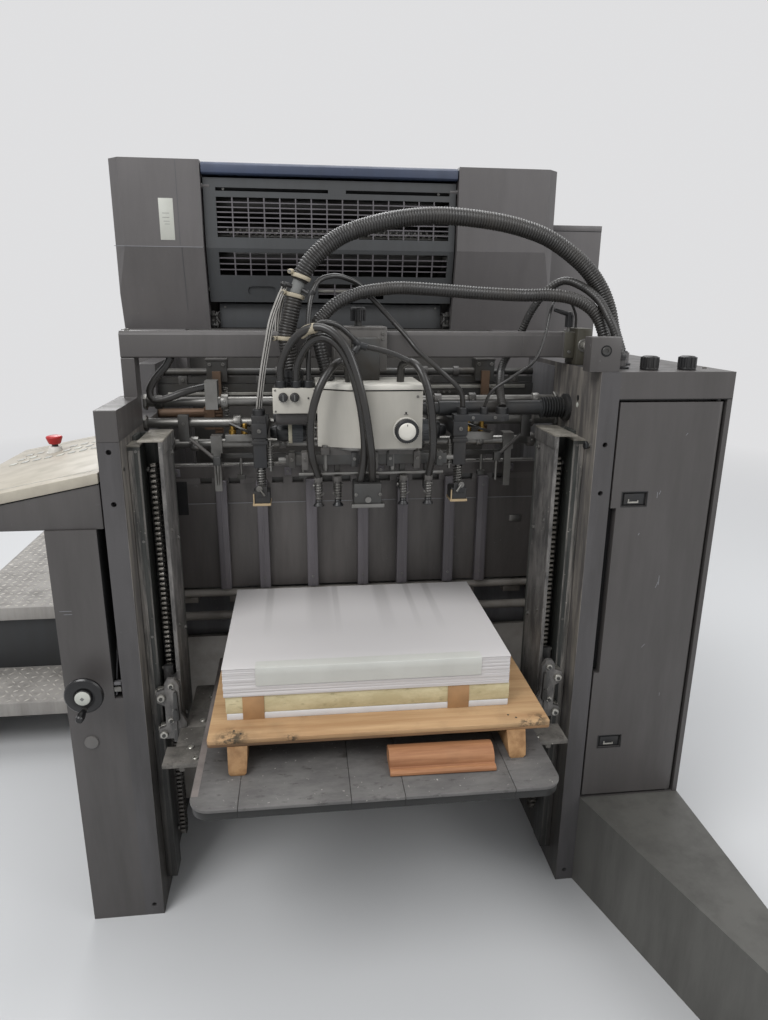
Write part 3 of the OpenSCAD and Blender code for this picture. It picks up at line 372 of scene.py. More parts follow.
EDGE_GREY = painted("edge_paint", "#8a8b8f", dirt=0.2, wear=0.2)
HANGER_PAINT = painted("hanger_paint", "#5d5a57", dirt=0.4, wear=0.6)
END_BLOCK = painted("end_block_paint", "#474439", "#8d8568", 0.5, 0.7)
STOP_PAINT = painted("stop_plate_paint", "#585452", dirt=0.5, wear=0.5)
WORN_PLATE = painted("worn_plate_paint", "#69686a", "#98928a", 0.6, 1.0)
WORN_EDGE = painted("worn_edge_paint", "#837b77", "#a59c94", 0.5, 1.0)
RISER_PAINT = painted("riser_paint", "#242628", dirt=0.5, wear=0.3)
# Near black for the board's lower halves and the bars under it: painted shade
BOARD_SHADE = painted("board_shade_paint", "#0f100f", dirt=0.1, wear=0.1)

# Bare metal
STEEL = moulded("bare_steel", "#7f7e7b", 0.4, 300, 0.85, 0.5)
DARK_STEEL = moulded("dark_steel", "#4c4c4b", 0.45, 300, 0.7, 0.5)
BRASS = moulded("brass", "#a98744", 0.35, 300, 0.9, 0.4)
LIGHT_METAL = moulded("light_metal", "#b3b1aa", 0.35, 300, 0.75, 0.4)
SHAFT_BLACK = moulded("shaft_black", "#2b2c2d", 0.42, 300, 0.2, 0.4)
# Lighter than the checker plate, for its lozenges: painted highlight
PLATE_HIGHLIGHT = moulded("plate_highlight", "#b9b5ad", 0.38, 300, 0.2, 0.3)
# The chain's rollers: a lit copy, and a darker copy as painted shade for those under the pile board
CHAIN_ROLLER = moulded("chain_roller", "#8f8a82", 0.32, 300, 0.35, 0.3)
SHADED_ROLLER = moulded("shaded_roller", "#4a4743", 0.28, 300, 0.35, 0.3)
CHAIN_DARK = moulded("chain_dark", "#2a2826", 0.5, 300, 0.4, 0.3)
ROD_GREY = moulded("rod_grey", "#98938d", 0.42, 300, 0.15, 0.4)
RUSTY_STEEL = moulded("rusty_steel", "#6a5443", 0.6, 200, 0.4, 0.6)

# Plastic and rubber
BLACK_PLASTIC = moulded("black_plastic", "#1b1c1e", 0.4)
RUBBER = moulded("hose_rubber", "#272625", 0.38, 500, 0, 0.25)
WHITE_PLASTIC = moulded("white_plastic", "#d8d6cf", 0.45)
RED_PLASTIC = moulded("red_plastic", "#b01c20", 0.3)
GLOSSY_RUBBER = moulded("smooth_hose_rubber", "#262524", 0.28, 300, 0, 0.2)
CABLE_GREY = moulded("cable_grey", "#a19e99", 0.42, 400, 0, 0.3)
CLAMP_PLASTIC = moulded("clamp_plastic", "#b3a993", 0.5, 300, 0, 0.4)
LIGHT_PLATE = moulded("light_plate", "#b9bab2", 0.5, 200, 0, 0.1)
MARK_GREY = moulded("mark_grey", "#6d6e6c", 0.6, 200, 0, 0.1)
DARK_GAP = moulded("dark_gap", "#0c0c0d", 0.8, 200, 0, 0.0)
HOUSING_TOP = moulded("housing_top", "#c9c6bd", 0.42, 300, 0, 0.15)
GRIP_GREY = moulded("grip_grey", "#55585b", 0.5, 400, 0.1, 0.3)
CREAM_PLASTIC = moulded("cream_plastic", "#cfc8b2", 0.45, 300, 0, 0.2)
BLOWER_BLACK = moulded("blower_black", "#242527", 0.42, 300, 0.1, 0.35)
NOZZLE_CREAM = moulded("nozzle_cream", "#b59f7c", 0.5, 300, 0, 0.35)
PLUG_GREY = moulded("plug_grey", "#62605e", 0.45, 300, 0, 0.2)
CONSOLE_CREAM = moulded("console_cream", "#a9a294", 0.42, 200, 0, 0.22)
KEY_GREY = moulded("key_grey", "#a9a9a4", 0.5, 200, 0, 0.1)
WHEEL_BLACK = moulded("wheel_black", "#131315", 0.3, 500, 0, 0.1)

# Wood, paper and card
PAPER = layered_paper("paper_sheets", "#d6d3d2", "#b5b1b0", 0.0016, 0.1)
PLYWOOD = wooden("pallet_plywood", "#bb9b74", "#a07d58", 0, 0.4, DECK_STAINS)
RUNNER_WOOD = wooden("runner_wood", "#b08a60", "#8a6642", 1)
MOULDING_WOOD = wooden("moulding_wood", "#b08059", "#86593a", 0, 0.25)
WRAPPER = moulded("wrapper_paper", "#bdbdb7", 0.5, 60, 0, 0.08)
BAND = moulded("white_band", "#d2d2d3", 0.5, 60, 0, 0.15)
DARK_PLY = wooden("dark_ply", "#8d6c4b", "#4a3524", 0)
CARDBOARD = moulded("cardboard", "#a8825a", 0.7, 200, 0, 0.3)
PAPER_TOP = shaded_paper()

# Surfaces that are worn or soiled all over
BOARD_TOP_WOOD = mottled("board_top", "#62605e", "#514f4e", (0.8, 1.8, 1), 0.5)
WRAP = mottled("wrapped_layer", "#cbc09c", "#b5a984", (1, 1, 2.5), 0.6, 0, "#8f8668", 0.2)
WALL_STEEL = mottled("column_wall_steel", "#767370", "#454443", (2, 2, 0.7), 0.5, 0.2)
ARM_STEEL = mottled("arm_steel", "#75716b", "#4d4a46", (1, 1, 1), 0.6, 0.1)
# The rails grow dark below the pile board: painted shade
STREAKED_STEEL = mottled("streaked_steel", "#8e8983", "#434341", (9, 9, 0.5), 0.5, 0.2, low_shade=0.8)
DARK_RAIL = mottled("dark_rail", "#4b4c49", "#333533", (5, 5, 0.5), 0.5, 0.1, low_shade=0.75)
PALE_BLOCK = mottled("pale_block", "#a39e94", "#6b675f", (1, 1, 1), 0.45, 0.3)

# Finishes of the CAD nodes that stay in sight as they are; the others are dark grey
CAD_FINISH = {
    "frame_left": FRAME_PAINT, "frame_right": FRAME_PAINT, "tie_rods": ROD_GREY, "feed_board": DARK_STEEL,
    "head_rods": STEEL, "cross_rails": DARK_STEEL, "side_racks": RUSTY_STEEL, "wedge_step": STEP_PAINT,
    "tower_covers": COVER_PAINT, "side_panels": COVER_PAINT, "drive_housing": COVER_PAINT,
    "delivery_hood": COVER_PAINT, "unit_body": OILY_PAINT,
}


def finish_cad_nodes():
    """Gives every CAD node its finish and a small radius on its edges."""
    for name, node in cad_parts.items():
        node.data.materials.clear()
        node.data.materials.append(CAD_FINISH.get(name, DARK_PAINT))
        weld = node.modifiers.new("join_triangles", "WELD")
        weld.merge_threshold = 0.00002
        soften = node.modifiers.new("soft_edges", "BEVEL")
        soften.limit_method = "ANGLE"
        soften.angle_limit = math.radians(40)
        soften.width = 0.0015
        soften.segments = 2
        soften.use_clamp_overlap = True


# Shapes that the detailed pieces are made of

FEEDER = Vector((0, POST_FRONT, 0))
TOWER = Vector((0, TOWER_FRONT, 0))
DELIVERY = Vector((0, UNIT_REAR, 0))
X, Y, Z = Vector((1, 0, 0)), Vector((0, 1, 0)), Vector((0, 0, 1))


class Builder:
    """Collects the forms of one piece, in millimetres from an origin; the main finish is its first."""

    def __init__(self, main, origin=FEEDER):
        self.shape = bmesh.new()
        self.origin = origin
        self.finishes = [main]

    def at(self, point):
        return self.origin + Vector(point) / 1000

    def mark(self, before, finish):
        """Gives a finish to the faces made since a set of them was taken."""
        if finish is None:
            finish = self.finishes[0]
        if finish not in self.finishes:
            self.finishes.append(finish)
        number = self.finishes.index(finish)
        for face in self.shape.faces:
            if face not in before:
                face.material_index = number

    def round_edges(self, verts, width):
        edges = list({edge for vertex in verts for edge in vertex.link_edges
                      if edge.calc_face_angle(0) > math.radians(25)})
        bmesh.ops.bevel(
            self.shape, geom=edges, offset=width / 1000, offset_type="OFFSET", segments=2, profile=0.5,
            affect="EDGES", material=-1, clamp_overlap=True)

    def box(self, x, y, z, bevel=1.0, finish=None, turn=None):
        """A block between two values on each axis, which may be turned; thin ones get a smaller radius."""
        before = set(self.shape.faces)
        low, high = Vector((x[0], y[0], z[0])), Vector((x[1], y[1], z[1]))
        size = (high - low) / 1000
        place = Matrix.Translation(self.at((low + high) / 2))
        if turn:
            place = place @ Matrix.Rotation(math.radians(turn[0]), 4, turn[1])
        made = bmesh.ops.create_cube(self.shape, size=1, matrix=place @ Matrix.Diagonal((*size, 1)))
        if bevel:
            self.round_edges(made["verts"], min(bevel, min(size) * 400))
        self.mark(before, finish)

    def bar(self, start, end, radius, tip=None, sides=20, bevel=0.0, finish=None):
        """A round bar or cone between two points."""
        before = set(self.shape.faces)
        start, end = self.at(start), self.at(end)
        run = end - start
        turn = run.to_track_quat("Z", "Y").to_matrix().to_4x4()
        made = bmesh.ops.create_cone(
            self.shape, cap_ends=True, segments=sides, radius1=radius / 1000,
            radius2=(radius if tip is None else tip) / 1000, depth=run.length,
            matrix=Matrix.Translation((start + end) / 2) @ turn)
        if bevel:
            self.round_edges(made["verts"], bevel)
        self.mark(before, finish)

    def turned(self, outline, centre, axis, sides=32, finish=None):
        """Spins an outline of (radius, height) points round an axis through a centre."""
        before = set(self.shape.faces)
        centre = self.at(centre)
        turn = Vector(axis).to_track_quat("Z", "Y").to_matrix()
        points = [self.shape.verts.new(centre + turn @ Vector((radius, 0, height)) / 1000)
                  for radius, height in outline]
        edges = [self.shape.edges.new(pair) for pair in zip(points, points[1:])]
        bmesh.ops.spin(
            self.shape, geom=points + edges, cent=centre, axis=axis, angle=2 * math.pi, steps=sides,
            use_merge=True, use_duplicate=False)
        fresh = [v for v in self.shape.verts if any(f not in before for f in v.link_faces)]
        bmesh.ops.remove_doubles(self.shape, verts=fresh, dist=0.00001)
        self.mark(before, finish)

    def grow(self, outline, shift, bevel=0.0, finish=None):
        """Extrudes a flat outline of points by a shift, both in millimetres."""
        before = set(self.shape.faces)
        points = [self.shape.verts.new(self.at(point)) for point in outline]
        face = self.shape.faces.new(points)
        grown = bmesh.ops.extrude_face_region(self.shape, geom=[face])
        moved = [item for item in grown["geom"] if isinstance(item, bmesh.types.BMVert)]
        bmesh.ops.translate(self.shape, verts=moved, vec=Vector(shift) / 1000)
        if bevel:
            self.round_edges(points + moved, bevel)
        self.mark(before, finish)

    def slab(self, outline, low, high, axis, bevel=0.0, finish=None):
        """Extrudes an outline along an axis; its points give the other two coordinates in order."""
        index = "XYZ".index(axis)
        points = [(*pair[:index], low, *pair[index:]) for pair in outline]
        shift = [0, 0, 0]
        shift[index] = high - low
        self.grow(points, shift, bevel, finish)

    def loft(self, rings, finish=None):
        """A closed form through rings of points, with sharp edges."""
        before = set(self.shape.faces)
        join_rings(self.shape, [[self.at(point) for point in ring] for ring in rings])
        self.mark(before, finish)

    def tube(self, route, radius, sides=12, smooth=None, finish=None):
        """A closed tube along a route, which may be made a smooth curve with steps of a given length."""
        before = set(self.shape.faces)
        points = [self.at(p) for p in route]
        if smooth:
            points = smooth_route(points, smooth / 1000)
        add_hose(self.shape, points, [radius / 1000] * len(points), sides)
        self.mark(before, finish)

    def screw(self, point, axis, radius=6.0, height=4.0, finish=STEEL):
        """A socket screw head with a recess."""
        outline = [(0, height * 0.3), (radius * 0.45, height * 0.3), (radius * 0.5, height),
                   (radius * 0.85, height), (radius, height * 0.75), (radius, 0)]
        self.turned(outline, point, axis, 12, finish)

    def coil(self, start, end, radius, wire, turns, finish=None):
        """A coil spring between two points."""
        start, end = Vector(start), Vector(end)
        turn = (end - start).to_track_quat("Z", "Y").to_matrix()
        steps = turns * 12
        route = []
        for k in range(steps + 1):
            angle = 2 * math.pi * k / 12
            around = turn @ Vector((radius * math.cos(angle), radius * math.sin(angle), 0))
            route.append(start.lerp(end, k / steps) + around)
        self.tube(route, wire, 6, finish=finish)

    def put(self, name, slot_name, *replaced, body="frame", smooth=35):
        """Makes the forms into a finished piece that rides on a body."""
        bmesh.ops.recalc_face_normals(self.shape, faces=self.shape.faces)
        mesh = bpy.data.meshes.new(name)
        self.shape.to_mesh(mesh)
        self.shape.free()
        piece = bpy.data.objects.new(name, mesh)
        bpy.context.scene.collection.objects.link(piece)
        for finish in self.finishes:
            mesh.materials.append(finish)
        mesh.shade_smooth()
        mesh.set_sharp_from_angle(angle=math.radians(smooth))
        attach(piece, body)
        if replaced:
            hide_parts(*replaced)
        return piece


def span(side, near, far):
    """The low and high of a stretch between two distances from the middle, on one side of it."""
    return (min(side * near, side * far), max(side * near, side * far))


def arc(centre, radius, start, end, steps):
    """Points of an arc in a plane, in degrees."""
    angles = [math.radians(start + (end - start) * k / steps) for k in range(steps + 1)]
    return [(centre[0] + radius * math.cos(a), centre[1] + radius * math.sin(a)) for a in angles]


def rounded(x, y, radius, steps=6):
    """A rectangle with rounded corners as an outline."""
    corners = [((x[1] - radius, y[1] - radius), 0), ((x[0] + radius, y[1] - radius), 90),
               ((x[0] + radius, y[0] + radius), 180), ((x[1] - radius, y[0] + radius), 270)]
    return [point for centre, start in corners for point in arc(centre, radius, start, start + 90, steps)]


def smooth_route(points, step):
    """Points close together along a smooth curve through the route's points."""
    ends = [points[0] * 2 - points[1]] + points + [points[-1] * 2 - points[-2]]
    dense = []
    for i in range(1, len(ends) - 2):
        a, b, c, d = ends[i - 1:i + 3]
        pieces = max(2, round((c - b).length / step))
        for k in range(pieces):
            t = k / pieces
            dense.append(0.5 * (2 * b + (c - a) * t + (2 * a - 5 * b + 4 * c - d) * t ** 2
                                + (3 * b - a - 3 * c + d) * t ** 3))
    dense.append(points[-1])
    return dense


def route_length(points):
    return sum((b - a).length for a, b in zip(points, points[1:]))


def join_rings(shape, rings):
    """A closed form through rings of places, all of the same count."""
    previous = []
    for ring in rings:
        points = [shape.verts.new(place) for place in ring]
        edges = [shape.edges.new(pair) for pair in zip(points, points[1:] + points[:1])]
        if previous:
            bmesh.ops.bridge_loops(shape, edges=previous + edges)
        else:
            bmesh.ops.contextual_create(shape, geom=edges)
        previous = edges
    bmesh.ops.contextual_create(shape, geom=previous)


def add_hose(shape, points, radii, sides):
    """A closed tube through places, with a radius for each."""
    along = (points[1] - points[0]).normalized()
    side = Y if abs(along.y) < 0.9 else X
    angles = [2 * math.pi * k / sides for k in range(sides)]
    rings = []
    for i, (point, radius) in enumerate(zip(points, radii)):
        along = (points[min(i + 1, len(points) - 1)] - points[max(i - 1, 0)]).normalized()
        side = (side - along * side.dot(along)).normalized()
        other = along.cross(side)
        rings.append([point + radius * (side * math.cos(a) + other * math.sin(a)) for a in angles])
    join_rings(shape, rings)


make_camera()
finish_cad_nodes()


# Hoses and cables: routes in millimetres from the feeder posts, with their ends where part.scad has them

HOSE_ROUTES = {
    "hose_large": (20, "ribbed", [(-160, 160, 1380), (-170, 160, 1450), (-161, 164, 1497), (-147, 170, 1553),
                                  (-135, 172, 1584), (-110, 176, 1622), (-66, 182, 1660), (-12, 190, 1688),
                                  (85, 200, 1714), (190, 200, 1724), (305, 200, 1716), (390, 200, 1700),
                                  (462, 200, 1674), (540, 200, 1622), (585, 200, 1572), (612, 200, 1522),
                                  (628, 200, 1470), (640, 200, 1440), (650, 200, 1416)]),
    "hose_medium": (15, "ribbed", [(-75, 150, 1354), (-92, 153, 1420), (-101, 160, 1478), (-84, 165, 1502),
                                   (-53, 170, 1529), (-3, 178, 1551), (48, 182, 1560), (100, 185, 1564),
                                   (191, 187, 1560), (287, 186, 1554), (390, 182, 1550), (453, 170, 1551),
                                   (503, 158, 1544), (540, 150, 1527), (566, 147, 1502), (584, 145, 1465),
                                   (600, 145, 1416)]),
    "hose_small": (10, "ribbed", [(345, 147, 1290), (352, 200, 1330), (372, 264, 1375), (400, 271, 1425),
                                  (422, 270, 1467), (434, 262, 1501), (449, 250, 1533), (472, 235, 1566),
                                  (504, 215, 1585), (541, 188, 1570), (567, 150, 1540), (582, 118, 1500),
                                  (596, 104, 1464), (608, 92, 1416)]),
    "hose_foot_left": (9, "smooth", [(-150, 112, 1343), (-147, 108, 1395), (-118, 85, 1445), (-80, 67, 1455),
                                     (-42, 50, 1416), (-13, 39, 1325), (0, 44, 1215), (-8, 65, 1130)]),
    "hose_foot_right": (9, "smooth", [(-186, 112, 1343), (-182, 108, 1400), (-145, 80, 1460), (-92, 55, 1478),
                                      (-42, 32, 1437), (-8, 10, 1335), (12, 20, 1215), (20, 65, 1130)]),
    "hose_left": (9, "smooth", [(-375, 268, 1328), (-420, 255, 1318), (-466, 247, 1302), (-496, 244, 1300),
                                (-503, 242, 1322), (-486, 238, 1352), (-458, 232, 1382), (-445, 228, 1403)]),
    "hose_sucker_left": (9, "smooth", [(-30, 120, 1354), (-36, 108, 1395), (-62, 68, 1400), (-98, 40, 1355),
                                       (-120, 36, 1280), (-120, 45, 1200), (-105, 80, 1140)]),
    "hose_sucker_right": (9, "smooth", [(90, 120, 1354), (93, 108, 1395), (118, 68, 1398), (140, 40, 1350),
                                        (152, 35, 1280), (158, 48, 1200), (155, 80, 1140)]),
    "cable_head": (6, "smooth", [(-122, 112, 1343), (-122, 118, 1410), (-120, 135, 1490), (-111, 150, 1545),
                                 (-93, 165, 1578), (-57, 180, 1589), (-26, 195, 1583), (0, 205, 1571),
                                 (33, 208, 1539), (76, 195, 1493), (111, 172, 1454), (140, 150, 1418),
                                 (190, 132, 1375), (238, 140, 1330), (247, 147, 1290)]),
    "cable_blower": (6, "bundle", [(-240, 147, 1290), (-235, 136, 1324), (-226, 135, 1381), (-215, 138, 1436),
                                   (-203, 143, 1491), (-185, 152, 1537), (-173, 168, 1562), (-171, 187, 1566),
                                   (-179, 208, 1545), (-190, 222, 1500), (-193, 225, 1464)]),
    "cable_thin": (3.5, "smooth", [(300, 147, 1290), (312, 130, 1330), (362, 125, 1365), (415, 138, 1400),
                                   (448, 168, 1460), (466, 190, 1520), (492, 215, 1548), (528, 235, 1538),
                                   (548, 240, 1505), (550, 240, 1474)]),
}


# Distances between the rings of a ribbed and of a smooth hose, in metres, and how deep its grooves go
RIBBED_STEP = 0.0022
SMOOTH_STEP = 0.012
GROOVE_DEPTH = 0.1

# The large hose is narrow over its metal connector: heights and radius in metres
CONNECTOR_Z = (1.549, 1.576)
CONNECTOR_RADIUS = 0.0128

# Wires of the blower's cable, as steps from its middle in metres: one thick and dark, four thin and pale
THICK_WIRE = Vector((0.0015, 0.002, 0))
THIN_WIRES = ((-0.005, 0.001), (-0.0035, -0.004), (0.0015, -0.0045), (0.006, -0.002))


def ribbed_radii(name, radius, line):
    """Every third ring is a groove, and the large hose is narrow over its connector."""
    radii = [radius / 1000 * (1 - GROOVE_DEPTH if i % 3 == 0 else 1) for i in range(len(line))]
    if name == "hose_large":
        for i, point in enumerate(line):
            if point.x < -0.1 and CONNECTOR_Z[0] < point.z < CONNECTOR_Z[1]:
                radii[i] = CONNECTOR_RADIUS
    return radii


def make_hoses():
    for name, (radius, kind, route) in HOSE_ROUTES.items():
        hose = Builder(GLOSSY_RUBBER if kind == "smooth" else RUBBER)
        line = smooth_route([hose.at(p) for p in route], RIBBED_STEP if kind == "ribbed" else SMOOTH_STEP)
        if kind == "ribbed":
            add_hose(hose.shape, line, ribbed_radii(name, radius, line), 18)
        elif kind == "bundle":
            add_hose(hose.shape, [p + THICK_WIRE for p in line], [0.0046] * len(line), 12)
            before = set(hose.shape.faces)
            for dx, dy in THIN_WIRES:
                add_hose(hose.shape, [p + Vector((dx, dy, 0)) for p in line], [0.0015] * len(line), 8)
            hose.mark(before, CABLE_GREY)
        else:
            add_hose(hose.shape, line, [radius / 1000] * len(line), 14)
        piece = hose.put(name + "_tube", "hose_rubber", name, smooth=50)
        tuple(line[0])
        route_length(line)
        [tuple(p) for p in line]


def make_hose_fittings():
    """Clamps and the metal connector of the large hose, the tie and the branch of the small ones."""
    b = Builder(CLAMP_PLASTIC)
    for centre, along, ear in (((-171, 160, 1450), (0.05, 0, 1), (-26, -6, 0)),
                               ((-149, 169, 1544), (0.25, 0.06, 1), (-24, -8, 8)),
                               ((-134, 172, 1585), (0.35, 0.05, 1), (-22, -8, 12))):
        along = Vector(along).normalized()
        centre = Vector(centre)
        b.bar(centre - along * 4.5, centre + along * 4.5, 22.4, sides=40, bevel=1.2)
        ear = centre + Vector(ear)
        b.bar(ear - Vector((3, 8, 0)), ear + Vector((3, 8, 0)), 5.5, sides=20, bevel=1)
        b.bar(ear - Vector((4, 11, 0)), ear - Vector((3, 8, 0)), 3.4, sides=6, finish=STEEL)
    b.bar((-149, 169, 1546), (-136, 172, 1582), 14.2, sides=36, finish=MARK_GREY)
    for start, end, radius in (((-152, 167, 1564), (-172, 160, 1570), 5),
                               ((-131, 162, 1557), (-112, 152, 1546), 5)):
        b.bar(start, end, radius, sides=18, finish=BLACK_PLASTIC)
    b.bar((-172, 160, 1570), (-176, 158, 1566), 7.5, sides=18, bevel=1, finish=BLACK_PLASTIC)
    b.bar((-117, 153, 1540), (-107, 150, 1556), 7.8, sides=20, bevel=1, finish=BLACK_PLASTIC)
    b.tube([(-137, 86, 1462), (-124, 74, 1472), (-106, 62, 1477)], 11, 20, 6)
    tee = (-8, 99, 1438)
    for radius, route in ((6.2, [(-112, 66, 1476), (-91, 70, 1488), (-60, 80, 1483), (-33, 90, 1464), tee]),
                          (6.6, [tee, (-27, 92, 1417), (-48, 79, 1404), (-64, 66, 1399)]),
                          (6.2, [tee, (17, 100, 1433), (51, 96, 1425), (80, 90, 1415), (108, 80, 1403)])):
        b.tube(route, radius, 14, 6, GLOSSY_RUBBER)
    for end in ((-20, 95, 1450), (-20, 94, 1423), (10, 100, 1434)):
        b.bar(tee, end, 8.4, sides=20, bevel=1.2, finish=BLACK_PLASTIC)
    b.put("hose_fittings", "machine_steel")


make_hoses()
make_hose_fittings()


# Printing tower, in millimetres from its front face

TOWER_LOW = 1443
TOWER_HIGH = 1934
TOWER_IN = (-427, 370)
FOLD = 1690
GUARD_X = (-422, 365)
GUARD_Z = (1528, 1892)
GUARD_DEPTH = 21
GUARD_LEAN = 46 / 190
GRILLE_X = (-385, 345)
GRILLE_COLUMNS = 15


def guard_face(z):
    """How far the front of the guard lies behind the tower's front at a height."""
    return GUARD_DEPTH + max(0, FOLD - z) * GUARD_LEAN


def add_panel(b, outline, depth=8, inset=0, finish=None):
    """A sheet of the guard, given by x and z points, that leans as the guard does."""
    b.grow([(x, guard_face(z) + inset, z) for x, z in outline], (0, depth, 0), finish=finish)


def add_strip(b, x, z, depth=8, inset=0, finish=None):
    """A rectangular sheet between two x and two z values, bent at the guard's fold."""
    levels = [z[0]] + ([FOLD] if z[0] < FOLD < z[1] else []) + [z[1]]
    for low, high in zip(levels, levels[1:]):
        add_panel(b, [(x[0], low), (x[1], low), (x[1], high), (x[0], high)], depth, inset, finish)


def add_grille(b, x, z, columns, rows):
    """Thin upright and level bars across an opening."""
    pitch = (x[1] - x[0]) / columns
    for k in range(1, columns):
        add_strip(b, (x[0] + k * pitch - 2, x[0] + k * pitch + 2), z, 5, 1, BAR_PAINT)
    step = (z[1] - z[0]) / rows
    for k in range(1, rows):
        add_strip(b, x, (z[0] + k * step - 1.7, z[0] + k * step + 1.7), 5, 1.3, BAR_PAINT)


def add_recess_halves(b, x, z, middle, half, radius):
    """A panel in two halves round a long rounded recess, with the recess's floor."""
    cx, cz = middle
    upper = [(x[0], cz), (x[0], z[1]), (x[1], z[1]), (x[1], cz)]
    upper += arc((cx + half, cz), radius, 0, 90, 8) + arc((cx - half, cz), radius, 90, 180, 8)
    lower = [(x[1], cz), (x[1], z[0]), (x[0], z[0]), (x[0], cz)]
    lower += arc((cx - half, cz), radius, 180, 270, 8) + arc((cx + half, cz), radius, 270, 360, 8)
    add_panel(b, upper)
    add_panel(b, lower)
    floor = arc((cx + half, cz), radius, -90, 90, 16) + arc((cx - half, cz), radius, 90, 270, 16)
    add_panel(b, floor, 2, 6)


def make_guard():
    b = Builder(GUARD_PAINT, TOWER)
    low, high = GUARD_Z
    add_strip(b, (GUARD_X[0], GRILLE_X[0]), (low, high))
    add_strip(b, (GRILLE_X[1], GUARD_X[1]), (low, high))
    add_strip(b, GRILLE_X, (1865, high))
    add_strip(b, (-40, 15), (1855, 1865))
    add_strip(b, GRILLE_X, (1838, 1855))
    add_grille(b, GRILLE_X, (1722, 1838), GRILLE_COLUMNS, 8)
    add_strip(b, GRILLE_X, (1678, 1722))
    add_grille(b, GRILLE_X, (1610, 1678), GRILLE_COLUMNS, 4)
    add_strip(b, GRILLE_X, (1586, 1610))
    add_recess_halves(b, (GRILLE_X[0], -75), (1540, 1586), (-256, 1563), 31, 14)
    add_strip(b, (140, GRILLE_X[1]), (1540, 1586))
    add_strip(b, GRILLE_X, (low, 1540))
    add_grille(b, (-75, 140), (1540, 1586), 4, 3)
    b.bar((GUARD_X[0], 42, 1868), (GUARD_X[1], 42, 1868), 11, finish=DARK_GAP)
    for x in (GUARD_X[0] + 12, GUARD_X[1] - 12):
        b.bar((x - 12, 28, 1868), (x + 12, 28, 1868), 6.5, finish=DARK_PAINT)
    for x in (-362, 310):
        b.screw((x, 31, 1861), -Y, 4, 6)
    b.box((GUARD_X[0], GUARD_X[1]), (guard_face(low) + 6, guard_face(low) + 16), (low, low + 4), 0.5)
    for x in (GUARD_X[0], GUARD_X[1] - 4):
        b.box((x, x + 4), (27, 40), (FOLD, 1852), 0.5)
    b.put("guard_sheet", "dark_grey_paint", "tower_guard", body="guard")


def make_tower_top():
    b = Builder(BLUE_PAINT, TOWER)
    left, right = TOWER_IN
    b.slab([(4, 1904), (9, 1899), (60, 1899), (60, 1901), (1080, 1901), (1080, 1926), (62, 1926),
            (58, TOWER_HIGH), (12, TOWER_HIGH), (4, 1926)], left + 3, right - 3, "X", 1.2)
    b.box((left, right), (1080, 1100), (TOWER_LOW, TOWER_HIGH), 1.5, COVER_PAINT)
    for x in (left + 25, right - 25):
        for z in (1475, 1690, 1905):
            b.screw((x, 1100, z), Y, 5, 3)
    for k in range(9):
        b.box((-180, 120), (1099, 1102), (1600 + 22 * k, 1608 + 22 * k), 0.8, BLACK_PLASTIC)
    b.box((-60, 10), (500, 560), (1926, 1932), 2, STEEL)
    b.put("tower_lid", "blue_paint", "tower_top")


def make_bare_plate():
    """The plate on the left cover, with a few plain marks."""
    b = Builder(LIGHT_PLATE, TOWER)
    b.box((-554, -511), (-1.2, 0), (1709, 1828), 0.4)
    for x, z in ((-545, 1785), (-545, 1773), (-542, 1762), (-539, 1754)):
        b.box((x, -524), (-1.5, -1), (z, z + 1.2), 0, MARK_GREY)
    b.put("bare_plate", "light_housing")


def make_seams_and_fold_highlight():
    b = Builder(SEAM_GREY, TOWER)
    b.box((-498, -496.6), (-0.35, 1), (FOLD + 2, TOWER_HIGH), 0)
    b.slab([(-0.3, FOLD - 3), (1, FOLD - 3), (47, 1500), (45.7, 1500)], -494, -492.6, "X")
    # A pale line along the left cover's fold: painted highlight on the bend
    b.box((-694, -429), (-0.4, 0.6), (FOLD - 0.9, FOLD + 0.9), 0, EDGE_GREY)
    b.put("cover_seams_and_fold_highlight", "dark_grey_paint")


def make_front_hinge_parts():
    b = Builder(DARK_STEEL, TOWER)
    for side, x in ((-1, TOWER_IN[0] + 3), (1, TOWER_IN[1] - 3)):
        inner = x - side * 4
        outer = inner - side * 18
        for z in (1452, 1484):
            b.box((min(x, outer), max(x, outer)), (72, 94), (z, z + 7), 1)
        b.box((inner - 6, inner + 6), (88, 100), (TOWER_LOW, 1500), 1)
        b.bar((inner - side * 12, 84, 1450), (inner - side * 12, 84, 1496), 3, finish=STEEL)
        b.screw((inner, 88, 1470), -Y, 4, 3)
        b.tube([(x - side * 20, 96, 1444), (x - side * 26, 80, 1462), (x - side * 14, 78, 1480),
                (x - side * 26, 84, 1498)], 2.2, 8, 8, GLOSSY_RUBBER)
    b.box((-398, 340), (95, 100), (1446, 1523), 1.2, GUARD_PAINT)
    for x in (-380, -20, 322):
        b.screw((x, 95, 1512), -Y, 3.6, 2)
    b.put("front_hinge_parts", "machine_steel")


